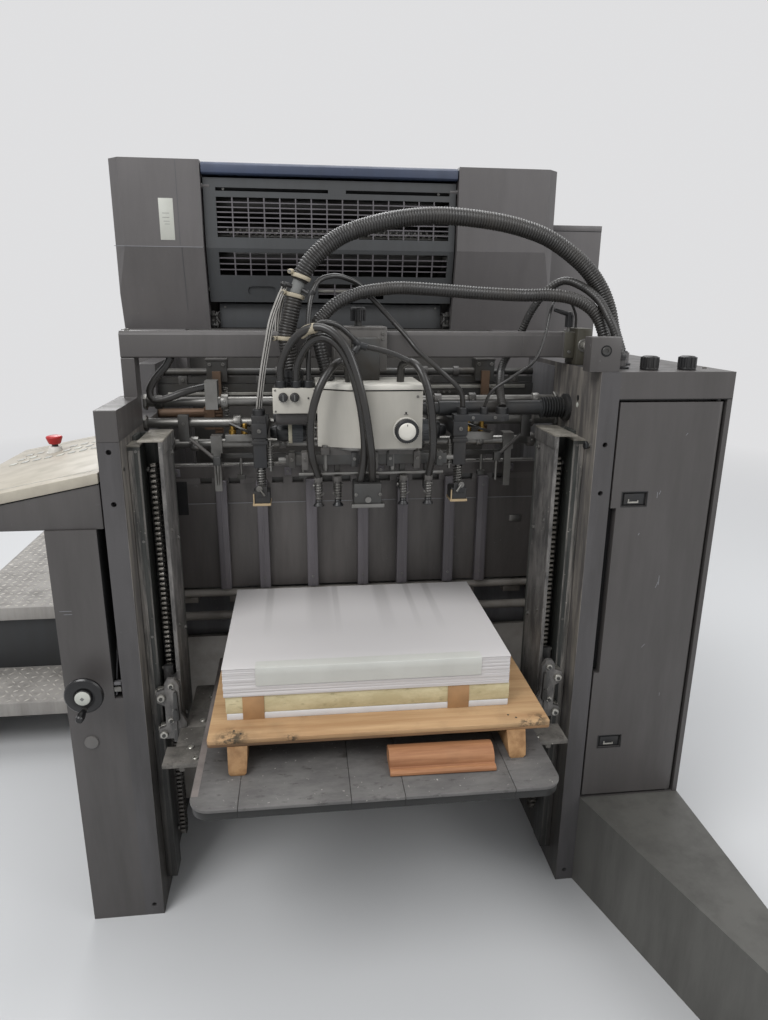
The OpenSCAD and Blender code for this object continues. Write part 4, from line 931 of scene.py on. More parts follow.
def make_rollers():
    b = Builder(RUBBER, TOWER)
    left, right = TOWER_IN
    for y, z, radius in ((120, 1830, 38), (120, 1670, 34), (200, 1750, 42), (210, 1600, 38), (310, 1840, 42),
                         (320, 1680, 50)):
        b.bar((left + 32, y, z), (right - 30, y, z), radius, sides=40, bevel=1.5)
        b.bar((left, y, z), (right, y, z), 12, finish=STEEL)
    for k in range(34):
        x = left + 67 + k * 20
        b.bar((x, 74, 1746), (x + 5, 74, 1746), 9, sides=10, finish=STEEL)
        b.bar((x + 8, 72, 1738), (x + 16, 72, 1738), 6, 4, sides=8, finish=LIGHT_METAL)
    b.bar((left, 78, 1742), (right, 78, 1742), 5, sides=12, finish=STEEL)
    b.box(TOWER_IN, (84, 100), (1728, 1736), 1, STEEL)
    b.box(TOWER_IN, (62, 72), (1560, 1572), 1, LIGHT_METAL)
    b.put("ink_roller_train", "machine_steel", "ink_rollers")


make_guard()
make_tower_top()
make_bare_plate()
make_seams_and_fold_highlight()
make_front_hinge_parts()
make_rollers()


# Suction head, in millimetres from the feeder posts: its lower edge, and the dial's middle by x and z

HEAD_Z = 1208
DIAL = (96, HEAD_Z + 43)


def grooved(radius, depth, teeth):
    """A round outline with shallow grooves, as on a grip."""
    points = []
    for k in range(teeth):
        angle = 2 * math.pi * k / teeth
        for turn, inside in ((0, 0), (0.45, 0), (0.55, depth), (0.9, depth)):
            a = angle + turn * 2 * math.pi / teeth
            points.append(((radius - inside) * math.cos(a), (radius - inside) * math.sin(a)))
    return points


def add_grip(b, centre, axis, length, radius, teeth=30, depth=1.6, finish=None):
    """A grooved grip from a centre along one axis."""
    index = "XYZ".index(axis)
    u, v = [centre[i] for i in range(3) if i != index]
    outline = [(u + x, v + y) for x, y in grooved(radius, depth, teeth)]
    b.slab(outline, centre[index], centre[index] + length, axis, finish=finish)


def make_housing():
    b = Builder(HOUSING_PAINT)
    low, high = HEAD_Z, HEAD_Z + 131
    b.loft([[(-104, 100, z), (crease, 60, z), (134, 60, z), (134, 230, z), (-104, 230, z)]
            for z, crease in ((low, 12), (high, -34))])
    b.slab([(-102, 103), (-32, 63), (131, 63), (131, 228), (-102, 228)], high, high + 3, "Z", 0, DARK_GAP)
    b.slab([(-107, 98), (-34, 57), (137, 57), (137, 232), (-107, 232)], high + 3, high + 15, "Z", 2.5,
           HOUSING_TOP)
    b.slab([(-92, 112), (-28, 72), (122, 72), (122, 222), (-92, 222)], low - 6, low, "Z", 1, STEEL)
    b.bar((DIAL[0], 55, DIAL[1]), (DIAL[0], 60, DIAL[1]), 30, sides=48, bevel=1, finish=HOUSING_TOP)
    b.box((94, 98), (59.3, 60), (DIAL[1] + 37, DIAL[1] + 41), 0, DARK_GAP)
    b.box((91, 101), (59.4, 60), (DIAL[1] + 34.5, DIAL[1] + 35.6), 0, DARK_GAP)
    b.screw((122, 60, high - 12), -Y, 3, 1.6)
    b.put("housing_shell", "light_housing", "head_housing")


def make_dial():
    b = Builder(BLACK_PLASTIC)
    x, z = DIAL
    add_grip(b, (x, 38, z), "Y", 16.6, 27.5, 40, 1.2)
    b.bar((x, 36, z), (x, 38.2, z), 24.5, 26.5, sides=48)
    outline = [(0, 6.5), (12, 6.2), (18, 5), (20.6, 2.4), (21, 0)]
    b.turned(outline, (x, 39, z), -Y, 40, HOUSING_TOP)
    b.bar((x, 54, z), (x, 59.4, z), 8, sides=20)
    b.box((x - 0.8, x + 0.8), (32.9, 34), (z + 8, z + 17), 0)
    b.put("dial_knob", "black_plastic", "head_dial", body="dial")


def make_valve_box():
    b = Builder(HOUSING_PAINT)
    b.box((-204, -105), (104, 189), (1286, 1342), 2, DARK_PAINT)
    b.box((-205, -104), (100, 105), (1285, 1343), 1.5)
    b.bar((-200, 146, 1274), (-110, 146, 1274), 22, sides=32, bevel=2, finish=DARK_PAINT)
    b.bar((-206, 146, 1274), (-104, 146, 1274), 15, sides=32, bevel=1.5, finish=BLACK_PLASTIC)
    for x in (-181, -155):
        b.turned([(0, 12), (7, 12), (9, 11), (9.8, 3), (10.8, 2), (10.8, 0)], (x, 100, 1322), -Y, 28,
                 BLACK_PLASTIC)
        b.box((x - 1, x + 1), (87.4, 89), (1315, 1329), 0.3, MARK_GREY)
        for k in range(5):
            a = math.radians(-150 + k * 30)
            b.box((x + 13 * math.cos(a) - 0.6, x + 13 * math.cos(a) + 0.6), (99.6, 100),
                  (1322 + 13 * math.sin(a) - 0.6, 1322 + 13 * math.sin(a) + 0.6), 0, MARK_GREY)
    for x in (-199, -110):
        for z in (1290, 1338):
            b.screw((x, 100, z), -Y, 2.4, 1.2)
    b.bar((-124, 100.2, 1320), (-124, 99, 1320), 2.2, finish=BLACK_PLASTIC)
    b.turned([(0, 37), (21, 37), (27, 34), (27, 20), (24, 18), (24, 10), (27, 8), (27, 0)], (-160, 160, 1343),
             Z, 36, BLACK_PLASTIC)
    for x, y in ((-150, 112), (-186, 112), (-122, 112)):
        b.turned([(0, 16), (11, 16), (12.5, 14), (12.5, 0)], (x, y, 1343), Z, 20, BLACK_PLASTIC)
    b.put("valve_housing", "light_housing", "valve_box")


def make_hanger():
    b = Builder(HANGER_PAINT)
    b.box((-66, 66), (185, 200), (1375, 1476), 2.5)
    b.box((-66, 66), (250, 265), (1375, 1476), 2.5)
    b.box((-66, 66), (185, 265), (1464.5, 1476), 3)
    b.box((-66, 66), (188, 262), (1375, 1402), 3)
    for k in range(5):
        b.box((-62 + k * 12, -57 + k * 12), (182, 186), (1378, 1430), 1)
    b.box((-20, 45), (150, 185), (1354, 1452), 3, DARK_STEEL)
    for z in (1448, 1460):
        b.screw((56, 185, z), -Y, 4, 3)
    b.bar((0, 225, 1476), (0, 225, 1490), 9, sides=24, finish=DARK_STEEL)
    add_grip(b, (0, 225, 1488), "Z", 26, 19, 22, 1.6, finish=BLACK_PLASTIC)
    b.bar((0, 225, 1514), (0, 225, 1520), 19.5, 17, sides=40, bevel=1, finish=BLACK_PLASTIC)
    b.put("hanger_block", "machine_steel", "head_hanger")


def make_shaft():
    b = Builder(SHAFT_BLACK)
    y, z = 193, HEAD_Z + 73
    b.turned([(0, 0), (15, 0), (15, 30), (17, 32), (17, 44), (15.5, 46), (15.5, 60), (18, 62), (18, 318),
              (20, 320)]
             + [point for k in range(8) for point in ((20, 322 + k * 7), (26, 324 + k * 7), (26, 326 + k * 7),
                                                      (20, 328 + k * 7))]
             + [(20, 380), (30, 381), (34, 383), (34, 392), (0, 392)], (134, y, z), X, 40)
    b.put("drive_shaft", "machine_steel", "head_shaft")


def make_couplings():
    """A slim neck, a grooved grip, a pale band, a black ring and a taper on each end of the housing."""
    b = Builder(GRIP_GREY)
    y, z = 200, HEAD_Z + 18
    grip_long, band_long, taper_long = 26, 9, 16
    for side, start, end, ring_long in ((-1, -104, -217, 28), (1, 134, 217, 12)):
        neck = abs(end - start) - grip_long - band_long - ring_long - taper_long
        grip = start + side * neck
        band = grip + side * grip_long
        ring = band + side * band_long
        taper = ring + side * ring_long

        def along(share):
            return (start + side * neck * share, y, z)

        b.bar(along(0), along(1), 11, sides=24, finish=STEEL)
        b.bar(along(0.3), along(0.55), 18, sides=6, bevel=1, finish=BRASS)
        b.bar(along(0.7), along(1), 22, 25, sides=32, bevel=1, finish=BLACK_PLASTIC)
        add_grip(b, (min(grip, band), y, z), "X", grip_long, 27, 34, 1.3)
        b.bar((band, y, z), (ring, y, z), 29, sides=40, bevel=1.2, finish=CREAM_PLASTIC)
        b.bar((ring, y, z), (taper, y, z), 24, 22, sides=36, bevel=2, finish=BLACK_PLASTIC)
        b.bar((taper, y, z), (end, y, z), 17, 13, sides=28, bevel=1.5, finish=BLACK_PLASTIC)
    b.put("coupling_pair", "machine_steel", "shaft_couplings")


def add_sucker(b, x, turn):
    """A nozzle with its spring, rubber tip and clamp."""
    b.bar((x, 80, 1140), (x, 80, 1128), 10.5, sides=6, bevel=0.8, finish=HANGER_PAINT)
    b.bar((x, 80, 1128), (x, 80, 1086), 6.5, sides=20, finish=HANGER_PAINT)
    b.coil((x, 80, 1088), (x, 80, 1126), 8.2, 1.1, 6, finish=STEEL)
    b.turned([(0, 15), (7, 15), (8.5, 12), (7.5, 9), (9, 6), (13, 1.5), (13, 0), (0, 0)], (x, 80, 1070), Z,
             28, BLACK_PLASTIC)
    b.box((x - 9, x + 9), (84, 113), (1102, 1125), 2)
    b.box((x - 7, x + 7), (98, 115), (1118, 1167), 1.5)
    b.screw((x + turn * 9, 100, 1114), X * turn, 4.5, 4)
    b.bar((x - turn * 4, 74, 1095), (x - turn * 12, 66, 1104), 2, finish=STEEL)


def make_nozzles():
    b = Builder(DARK_STEEL)
    b.box((-180, 200), (90, 115), (1165, 1190), 2)
    b.box((-90, 120), (90, 115), (1188, 1209), 1.5, HANGER_PAINT)
    b.bar((-196, 97, 1178), (216, 97, 1178), 6, sides=16, finish=STEEL)
    b.bar((-150, 84, 1146), (190, 84, 1146), 4, sides=14, finish=STEEL)
    for x, turn in ((-105, -1), (-60, 1), (95, -1), (155, 1)):
        add_sucker(b, x, turn)
    for k, x in enumerate((-165, -135, -20, 28, 64, 128, 182)):
        b.box((x - 8, x + 8), (86, 118), (1160 - k % 2 * 6, 1196), 2, (DARK_STEEL, HANGER_PAINT)[k % 2])
        b.screw((x, 86, 1180), -Y, 4.2, 3)
    for x in (-88, 70):
        b.box((x - 10, x + 10), (82, 100), (1190, 1206), 1.5, HANGER_PAINT)
        b.bar((x, 96, 1150), (x, 96, 1212), 7, sides=16, finish=STEEL)
    b.box((-25, 40), (45, 100), (1075, 1130), 4)
    b.box((-31, 46), (41, 62), (1073, 1082), 1.5, STEEL)
    b.box((-5, 20), (92, 110), (1120, 1170), 1)
    for x in (-8, 20):
        b.turned([(0, 14), (10, 14), (12, 12), (12, 0)], (x, 65, 1116), Z, 24, BLACK_PLASTIC)
    for x in (-20, 36):
        b.screw((x, 45, 1104), -Y, 4, 3)
    b.bar((8, 45, 1092), (8, 40, 1092), 7, sides=20, finish=STEEL)
    b.put("sucker_row", "machine_steel", "nozzles")


def add_blower(b, x, side):
    """A side blower: clamp, spring guide, nozzle block and socket."""
    b.box((x - 18, x + 18), (130, 285), (1222, 1258), 2.5)
    b.box((x - 16, x + 16), (132, 165), (1150, 1222), 3)
    b.box((x - 19, x + 19), (128, 167), (1208, 1216), 1.5)
    b.bar((x, 147, 1150), (x, 147, 1095), 7, sides=20, finish=STEEL)
    b.coil((x, 147, 1097), (x, 147, 1148), 10.5, 1.7, 8, finish=STEEL)
    b.bar((x - side * 24, 140, 1214), (x - side * 24, 140, 1142), 4, sides=14, finish=STEEL)
    b.coil((x - side * 24, 140, 1152), (x - side * 24, 140, 1206), 7, 1.3, 9, finish=STEEL)
    b.box((x - 20, x + 20), (125, 170), (1062, 1095), 2.5)
    b.box((x - 21.5, x + 21.5), (122, 172), (1060, 1066), 1.5, NOZZLE_CREAM)
    b.box((x - 20, x - 17), (122, 128), (1062, 1090), 1, NOZZLE_CREAM)
    b.box((x - 14, x + 14), (122, 127), (1082, 1108), 2)
    b.bar((x + side * 4, 124, 1104), (x + side * 4, 116, 1104), 7.5, sides=20, bevel=1, finish=STEEL)
    b.bar((x + side * 4, 118, 1104), (x - side * 8, 112, 1088), 2.6, finish=STEEL)
    b.screw((x, 130, 1240), -Y, 5, 4)
    b.screw((x + side * 18, 200, 1240), X * side, 5, 4)


def make_blowers():
    b = Builder(BLOWER_BLACK)
    for x, side in ((-240, -1), (240, 1)):
        add_blower(b, x, side)
    b.box((-257, -223), (131, 164), (1257, 1276), 2)
    b.turned([(0, 33), (12, 33), (15, 30), (15, 8), (17, 6), (17, 0)], (-240, 147, 1257), Z, 28,
             BLACK_PLASTIC)
    b.box((223, 359), (131, 164), (1257, 1274), 2.5)
    for x, radius in ((247, 12), (300, 9), (345, 14)):
        b.turned([(0, 33), (radius, 33), (radius + 1.5, 31), (radius + 1.5, 14), (radius + 3, 12),
                  (radius + 3, 0)], (x, 147, 1257), Z, 28, BLACK_PLASTIC)
    for x in (270, 324):
        b.screw((x, 131, 1266), -Y, 4, 3)
    b.put("blower_pair", "machine_steel", "side_blowers")


def make_rod_details():
    """Collars, stops and small valves that sit on the cross rods."""
    b = Builder(DARK_STEEL)
    for y, z, places in ((265, 1240, (-430, -300, -130, 190, 310, 452)),
                         (300, 1180, (-470, -412, -190, 170, 330, 470)),
                         (280, 1290, (-490, -330, 210, 300, 470))):
        for k, x in enumerate(places):
            radius = 19 if k % 2 else 17
            finish = (DARK_STEEL, STEEL, HANGER_PAINT)[k % 3]
            b.bar((x - 9, y, z), (x + 9, y, z), radius, sides=28, bevel=1.2, finish=finish)
            b.screw((x, y - radius, z), -Y, 3.6, 3)
        for side in (-1, 1):
            b.bar((side * FRAME_IN, y, z), (side * (FRAME_IN - 8), y, z), 20, sides=6, bevel=1, finish=STEEL)
    for x, side in ((-430, 1), (440, -1)):
        foot = x + side * 78
        b.box((x - 13, x + 13), (246, 262), (1196, 1262), 2)
        b.bar((x + side * 10, 252, 1204), (foot, 236, 1148), 4.5, sides=14, finish=HANGER_PAINT)
        b.bar((foot, 236, 1152), (foot, 236, 1086), 5.5, 3.5, sides=16, finish=STEEL)
        b.box((foot - 9, foot + 9), (226, 244), (1138, 1160), 1.5)
    b.box((-330, -252), (236, 262), (1196, 1214), 2, STEEL)
    b.box((264, 352), (236, 262), (1192, 1214), 2, STEEL)
    for x in (-312, -282, 286, 322):
        b.turned([(0, 26), (5, 26), (6, 24), (6, 12), (9, 10), (9, 0)], (x, 249, 1213), Z, 20, BRASS)
    for x0, x1 in ((-318, -252), (262, 340)):
        b.tube([(x0, 244, 1240), ((x0 + x1) / 2, 226, 1228), (x1, 232, 1214)], 3.6, 10, 6, GLOSSY_RUBBER)
    b.box((-350, 400), (300, 312), (1140, 1152), 1.5)
    for x in (-300, -140, 40, 200, 340):
        b.bar((x, 306, 1140), (x, 306, 1092), 4, sides=12, finish=STEEL)
        b.box((x - 11, x + 11), (296, 313), (1084, 1096), 1.5)
    b.put("rod_fittings", "machine_steel")


make_housing()
make_dial()
make_valve_box()
make_hanger()
make_shaft()
make_couplings()
make_nozzles()
make_blowers()
make_rod_details()


# Feeder frames, beam and lift, in millimetres from the feeder posts

BEAM_Z = (1403, 1464)
RAIL_LOW = 60
COLUMN_TOP = 1234
WALL_LOW = 470

# Roller chains: the middle of a loop, its lowest sprocket, and the links in one straight run and half a turn
CHAIN_X = 483
CHAIN_Y = 120
CHAIN_LOW = 165
CHAIN_PITCH = 12.7
CHAIN_RUN = 78
CHAIN_TURN = 3
CHAIN_R = CHAIN_TURN * CHAIN_PITCH / math.pi
CHAIN_HIGH = CHAIN_LOW + CHAIN_RUN * CHAIN_PITCH

# Height below which the chains' rollers take the darker copy, painted shade under the pile board
SHADED_BELOW = 560


def make_beam():
    b = Builder(DARK_PAINT)
    low, high = BEAM_Z
    section = [(200, low + 3), (203, low), (247, low), (250, low + 3), (250, high - 3), (247, high),
               (207, high), (200, high - 8)]
    b.slab(section, -554, 508, "X", 0.8)
    b.box((508, 535), (198, 252), (low - 1, high + 1), 2.5, END_BLOCK)
    b.box((505, 509), (199, 251), (low, high + 0.5), 0.8)
    b.box((402, 405), (199.2, 202), (low + 4, high - 8), 0.6)
    for x in (-540, 521):
        b.screw((x, 225, high + (1 if x > 0 else 0)), Z, 6, 4)
    b.screw((521, 198, low + 14), -Y, 4, 3)
    b.put("beam_bar", "dark_grey_paint", "cross_beam")


def make_right_cap():
    b = Builder(DARK_PAINT)
    x, z = 532, 1432
    b.box((x - 35, x + 35), (0, 41), (1386, 1462), 1.5)
    b.bar((x, 1, z), (x, -0.5, z), 12.5, sides=32, finish=DARK_GAP)
    b.turned([(0, 0), (0, 0.5), (4, 0.6), (4.4, 2.2), (8.4, 2.2), (9.4, 1.2), (9.4, -0.5)], (x, -0.4, z), -Y,
             28, DARK_STEEL)
    b.box((535, FRAME_OUT), (185, 260), (1386, 1474), 2.5, END_BLOCK)
    b.turned([(10, 2), (15, 2), (16, 1), (16, 0)], (554, 185, 1433.5), -Y, 32, STEEL)
    b.bar((554, 185, 1433.5), (554, 165, 1433.5), 10, sides=28, bevel=1, finish=LIGHT_METAL)
    b.bar((554, 165, 1433.5), (554, 163, 1433.5), 4, sides=16, finish=DARK_STEEL)
    b.put("right_cap_blocks", "dark_grey_paint", "right_cap")


def make_lever():
    b = Builder(BLACK_PLASTIC)
    x, y, z = 520, 208, 1464
    for k in range(6):
        b.bar((x, y, z + k * 2), (x, y, z + k * 2 + 1.4), 4.8, sides=16, finish=STEEL)
    b.bar((x, y, z), (x, y, z + 14), 4.2, sides=16, finish=STEEL)
    add_grip(b, (x, y, z + 12), "Z", 28, 10, 14, 1.0)
    b.bar((x, y, z + 40), (x, y, z + 48), 10, 8, sides=28, bevel=1)
    b.bar((x, y, z + 42), (x - 40, y, z + 53.5), 6.4, 4.6, sides=18, bevel=1.5)
    b.screw((x, y, z + 47.5), Z, 4, 1.6)
    b.put("lever_handle", "black_plastic", "clamp_lever")


def add_link(b, start, end, low):
    """A waisted side plate between two pins, given by y and z."""
    heading = math.degrees(math.atan2(end[1] - start[1], end[0] - start[0]))
    across = math.radians(heading + 90)
    middle = ((start[0] + end[0]) / 2, (start[1] + end[1]) / 2)
    waist = (3.7 * math.cos(across), 3.7 * math.sin(across))
    outline = arc(start, 5.4, heading + 110, heading + 250, 3)
    outline.append((middle[0] - waist[0], middle[1] - waist[1]))
    outline += arc(end, 5.4, heading - 70, heading + 70, 3)
    outline.append((middle[0] + waist[0], middle[1] + waist[1]))
    b.slab(outline, low, low + 1.1, "X")


def add_chain(b, middle):
    """A roller chain round its two sprockets, with narrow and wide links in turn."""
    turn = [k * math.pi / CHAIN_TURN for k in range(CHAIN_TURN)]
    places = [(CHAIN_Y - CHAIN_R, CHAIN_LOW + k * CHAIN_PITCH) for k in range(CHAIN_RUN)]
    places += [(CHAIN_Y - CHAIN_R * math.cos(a), CHAIN_HIGH + CHAIN_R * math.sin(a)) for a in turn]
    places += [(CHAIN_Y + CHAIN_R, CHAIN_HIGH - k * CHAIN_PITCH) for k in range(CHAIN_RUN)]
    places += [(CHAIN_Y + CHAIN_R * math.cos(a), CHAIN_LOW - CHAIN_R * math.sin(a)) for a in turn]
    for k, (y, z) in enumerate(places):
        # Rollers under the pile board take the darker copy, as painted shade
        shade = SHADED_ROLLER if z < SHADED_BELOW else CHAIN_ROLLER
        b.bar((middle - 5.4, y, z), (middle + 5.4, y, z), 4, sides=10, finish=shade)
        b.bar((middle - 8.6, y, z), (middle + 8.6, y, z), 1.9, sides=6, finish=shade)
        inner = 5.5 if k % 2 else 6.8
        for low in (middle - inner - 1.1, middle + inner):
            add_link(b, (y, z), places[(k + 1) % len(places)], low)


def make_chains():
    for name, side in (("left", -1), ("right", 1)):
        b = Builder(CHAIN_DARK)
        add_chain(b, side * CHAIN_X)
        b.put("chain_" + name, "machine_steel", "lift_chains")


def make_columns():
    """Guide rails, the open channels of the chains with their inner walls, and the chains' sprockets."""
    b = Builder(DARK_RAIL)
    for side in (-1, 1):
        b.box(span(side, 498, FRAME_IN), (60, 119), (RAIL_LOW, 1220))
        for near, far, front in ((512, 525, 59.2), (499, 503, 59.4)):
            b.box(span(side, near, far), (front, 62), (RAIL_LOW + 4, 1212), 0.4, STREAKED_STEEL)
        b.box(span(side, 497, FRAME_IN + 1), (58.5, 121), (1220, 1224), 0.8, PALE_BLOCK)
        b.box(span(side, 518, FRAME_IN), (119, 180), (RAIL_LOW, COLUMN_TOP), 0.6)
        b.box(span(side, 446, 518), (168, 180), (WALL_LOW, COLUMN_TOP), 0.6)
        b.box(span(side, 446, 452), (42, 168), (WALL_LOW, COLUMN_TOP), 0.8, WALL_STEEL)
        b.box(span(side, 445, 454), (38, 44), (WALL_LOW, COLUMN_TOP), 0.8, WALL_STEEL)
        for near, far in ((121, 184), (38, 121)):
            b.box(span(side, 443.5, 498), (near, far), (COLUMN_TOP, COLUMN_TOP + 4), 0.8, PALE_BLOCK)
        b.box(span(side, 443.5, 447), (38, 184), (1205, COLUMN_TOP), 0.6, WALL_STEEL)
        for z in (CHAIN_LOW, CHAIN_HIGH):
            b.bar((side * 478, CHAIN_Y, z), (side * 488, CHAIN_Y, z), CHAIN_R - 4.3, sides=24, bevel=1,
                  finish=STEEL)
            b.bar((side * 488, CHAIN_Y, z), (side * 520, CHAIN_Y, z), 6, sides=16, finish=STEEL)
        for z in (500, 740, 980, 1190):
            b.screw((side * 446, 150, z), -X * side, 6, 4)
            b.screw((side * 446, 80, z + 40), -X * side, 5, 3)
            b.bar((side * 507.5, 60.4, z + 20), (side * 507.5, 58.6, z + 20), 3.6, sides=6, finish=STEEL)
    b.put("column_rails", "machine_steel", "lift_columns")


def make_inner_plates():
    b = Builder(WORN_PLATE)
    b.box((FRAME_IN - 1.2, FRAME_IN), (196, 516), (760, 1225), 0.4)
    b.box((FRAME_IN - 1.2, FRAME_IN), (300, 512), (1245, 1374), 0.4)
    b.box((-FRAME_IN, -FRAME_IN + 1.2), (196, 420), (760, 1225), 0.4)
    for y, z in ((212, 1210), (500, 1210), (212, 780), (500, 780)):
        b.screw((FRAME_IN - 1.2, y, z), -X, 5, 3)
    for y, z in ((212, 1210), (404, 1210), (212, 780), (404, 780)):
        b.screw((-FRAME_IN + 1.2, y, z), X, 5, 3)
    b.bar((FRAME_IN, 126, 1313), (FRAME_IN - 0.6, 126, 1313), 7, sides=20, finish=BLACK_PLASTIC)
    b.bar((FRAME_IN, 126, 1296), (FRAME_IN - 0.8, 126, 1296), 6, sides=20, finish=LIGHT_PLATE)
    b.bar((FRAME_IN, 30, 1215), (516, 30, 1215), 6, sides=20, finish=STEEL)
    b.bar((520, 30, 1215), (512, 30, 1215), 10, sides=6, bevel=1.2, finish=BLACK_PLASTIC)
    for y in (20, 150, 240):
        b.bar((-FRAME_IN, y, 1180), (-FRAME_IN + 0.6, y, 1180), 5, sides=16, finish=BLACK_PLASTIC)
    b.box((-FRAME_IN, FRAME_IN), (420, 426), (560, 790), 1)
    for near, far, low, high in ((412, 421, 640, 644), (412, 421, 588, 591), (404, 426, 556, 562)):
        b.box((-FRAME_IN, FRAME_IN), (near, far), (low, high), 1, STEEL)
    for x in (-470, -330, 330, 470):
        b.box((x - 26, x + 26), (380, 420), (705, 722), 1.5, ROD_GREY)
    b.put("inner_plates", "dark_grey_paint")


def make_carriages():
    b = Builder(WALL_STEEL)
    for side in (-1, 1):
        plate = [(12, 500), (205, 500), (205, 560), (130, 610), (80, 650), (30, 650), (12, 640)]
        b.slab(plate, side * 457, side * 467, "X", 1.5)
        face = [(434, 505), (434, 548), (447, 575), (447, 650), (458, 668), (474, 668), (482, 655),
                (482, 640), (502, 634), (502, 606), (484, 596), (484, 540), (502, 534), (502, 508)]
        b.slab([(side * x, z) for x, z in face], 17, 30, "Y", 2)
        for z in (521, 620):
            b.bar((side * 466, 45.7, z), (side * 504, 45.7, z), 7, sides=24, finish=DARK_STEEL)
            b.bar((side * 474, 45.7, z), (side * 502, 45.7, z), 13.9, sides=32, bevel=1.2, finish=LIGHT_METAL)
            b.bar((side * 504, 45.7, z), (side * 508, 45.7, z), 9, sides=24, bevel=2, finish=LIGHT_METAL)
            b.bar((side * 490, 17, z), (side * 490, 10, z), 10.5, 9, sides=28, bevel=2, finish=LIGHT_METAL)
            b.bar((side * 490, 10, z), (side * 490, 7, z), 4.5, sides=6, finish=DARK_STEEL)
        for x, z in ((465, 652), (458, 588), (470, 560), (446, 524)):
            b.bar((side * x, 17, z), (side * x, 10, z), 7.5, sides=6, bevel=0.8, finish=LIGHT_METAL)
            b.bar((side * x, 10, z), (side * x, 6, z), 4, sides=16, finish=DARK_STEEL)
        b.slab([(side * 450, 560), (side * 466, 560), (side * 460, 636), (side * 452, 636)], 9, 17, "Y", 1.2,
               DARK_STEEL)
        b.box(span(side, 470, 494), (84, 97), (622, 668), 2)
        b.box(span(side, 464, 474), (30, 97), (628, 644), 2)
        b.bar((side * 470, 90, 662), (side * 496, 90, 662), 4, sides=16, finish=LIGHT_METAL)
        for near, far, y, z in ((338, 470, (-130, -60), (526, 537)), (338, 450, (-60, 16), (526, 537)),
                                (338, 438, (16, 214), (526, 537)), (338, 352, (-120, 206), (498, 527)),
                                (424, 436, (-112, 200), (504, 527))):
            b.box(span(side, near, far), y, z, 2, ARM_STEEL)
        b.box(span(side, 438, 470), (17, 34), (505, 537), 2)
        for x, y in ((398, -112), (414, -70), (400, 40), (392, 150)):
            b.screw((side * x, y, 537), Z, 7, 4, LIGHT_METAL)
    b.put("carriage_pair", "machine_steel", "carriages", body="pile_lift")


def make_front_stop():
    b = Builder(STOP_PAINT)
    bars = (-356, -250, -119, 20, 129, 260, 352)
    slots = (-396, -322, -208, -154, -76, -27, 80, 172, 216, 310, 396)
    edges = [-FRAME_IN] + [x + end for x in slots for end in (-15, 15)] + [FRAME_IN]
    b.box((-FRAME_IN, FRAME_IN), (335, 345), (770, 1009.5), 0.8)
    b.box((-FRAME_IN, FRAME_IN), (335.6, 345), (1009.5, 1011), 0, EDGE_GREY)
    b.box((-FRAME_IN, FRAME_IN), (335, 345), (1011, 1064), 0.8)
    b.box((-FRAME_IN, FRAME_IN), (335, 345), (1080, 1112), 0.8)
    for low, high in zip(edges[::2], edges[1::2]):
        b.box((low, high), (335, 345), (1064, 1080), 0)
    for x in bars:
        b.box((x - 14.5, x + 14.5), (315, 336), (770, 1075), 2, BAR_PAINT)
        b.box((x - 2.5, x + 2.5), (314, 316), (775, 1060), 0.5, BAR_PAINT)
        for z in (800, 1052):
            b.screw((x, 315, z), -Y, 3.4, 2)
    for x in (-470, -180, 70, 200, 430):
        b.box((x - 9, x + 9), (331, 336), (1086, 1106), 1, BAR_PAINT)
        b.screw((x, 331, 1096), -Y, 4, 3)
    for x in (-512, 512):
        for z in (790, 930, 1096):
            b.screw((x, 335, z), -Y, 5, 4)
    # A near-black patch on the plate: painted shade of the space behind it
    b.box((-474, -446), (333.5, 336), (980, 1072), 1, DARK_GAP)
    b.box((436, 470), (330, 336), (940, 958), 1, STEEL)
    b.put("stop_plate", "dark_grey_paint", "front_stop")


def make_rail_details():
    b = Builder(DARK_STEEL)
    for x in (-366, 379):
        b.box((x - 29, x + 29), (455, 514), (1376, 1382), 1.5, OILY_PAINT)
        for dx in (-18, 18):
            b.screw((x + dx, 458, 1366), -Y, 5, 4)
        b.coil((x + 22, 450, 1206), (x + 22, 450, 1306), 6, 1.3, 14, finish=STEEL)
    b.box((-500, -60), (466, 470), (1282, 1290), 0.6, LIGHT_METAL)
    b.box((90, 500), (466, 470), (1298, 1308), 0.6, LIGHT_METAL)
    b.box((110, 300), (465, 471), (1282, 1294), 1)
    for k in range(11):
        b.bar((120 + k * 16, 465, 1288), (120 + k * 16, 462, 1288), 3.4, sides=12, finish=STEEL)
    for x in (-460, -250, -120, 60, 220, 470):
        b.box((x - 12, x + 12), (476, 498), (1310, 1334), 1.5, OILY_PAINT)
        b.screw((x, 476, 1322), -Y, 4.5, 3)
    for x in (-200, 40, 210, 300):
        b.bar((x - 8, 485, 1344), (x + 8, 485, 1344), 15, sides=24, bevel=1, finish=OILY_PAINT)
    b.put("rail_fittings", "machine_steel")


def make_feed_tapes():
    b = Builder(CREAM_PLASTIC)
    tapes = (-360, -230, -110, 0, 110, 230, 360)

    def feed(y):
        return 1082 - 160 * (y - 350) / 500

    for x in tapes:
        b.slab([(352, feed(352)), (352, feed(352) + 1.5), (848, feed(848) + 1.5), (848, feed(848))],
               x - 18, x + 18, "X")
    for y in (430, 620, 790):
        b.bar((-FRAME_IN, y, feed(y) + 36), (FRAME_IN, y, feed(y) + 36), 9, sides=20, finish=STEEL)
        for x in tapes:
            b.bar((x - 11, y, feed(y) + 21.5), (x + 11, y, feed(y) + 21.5), 19, sides=28, bevel=1.5,
                  finish=RUBBER)
            b.box((x - 5, x + 5), (y - 7, y + 7), (feed(y) + 22, feed(y) + 44), 1, DARK_STEEL)
    b.put("feed_tapes", "machine_steel")


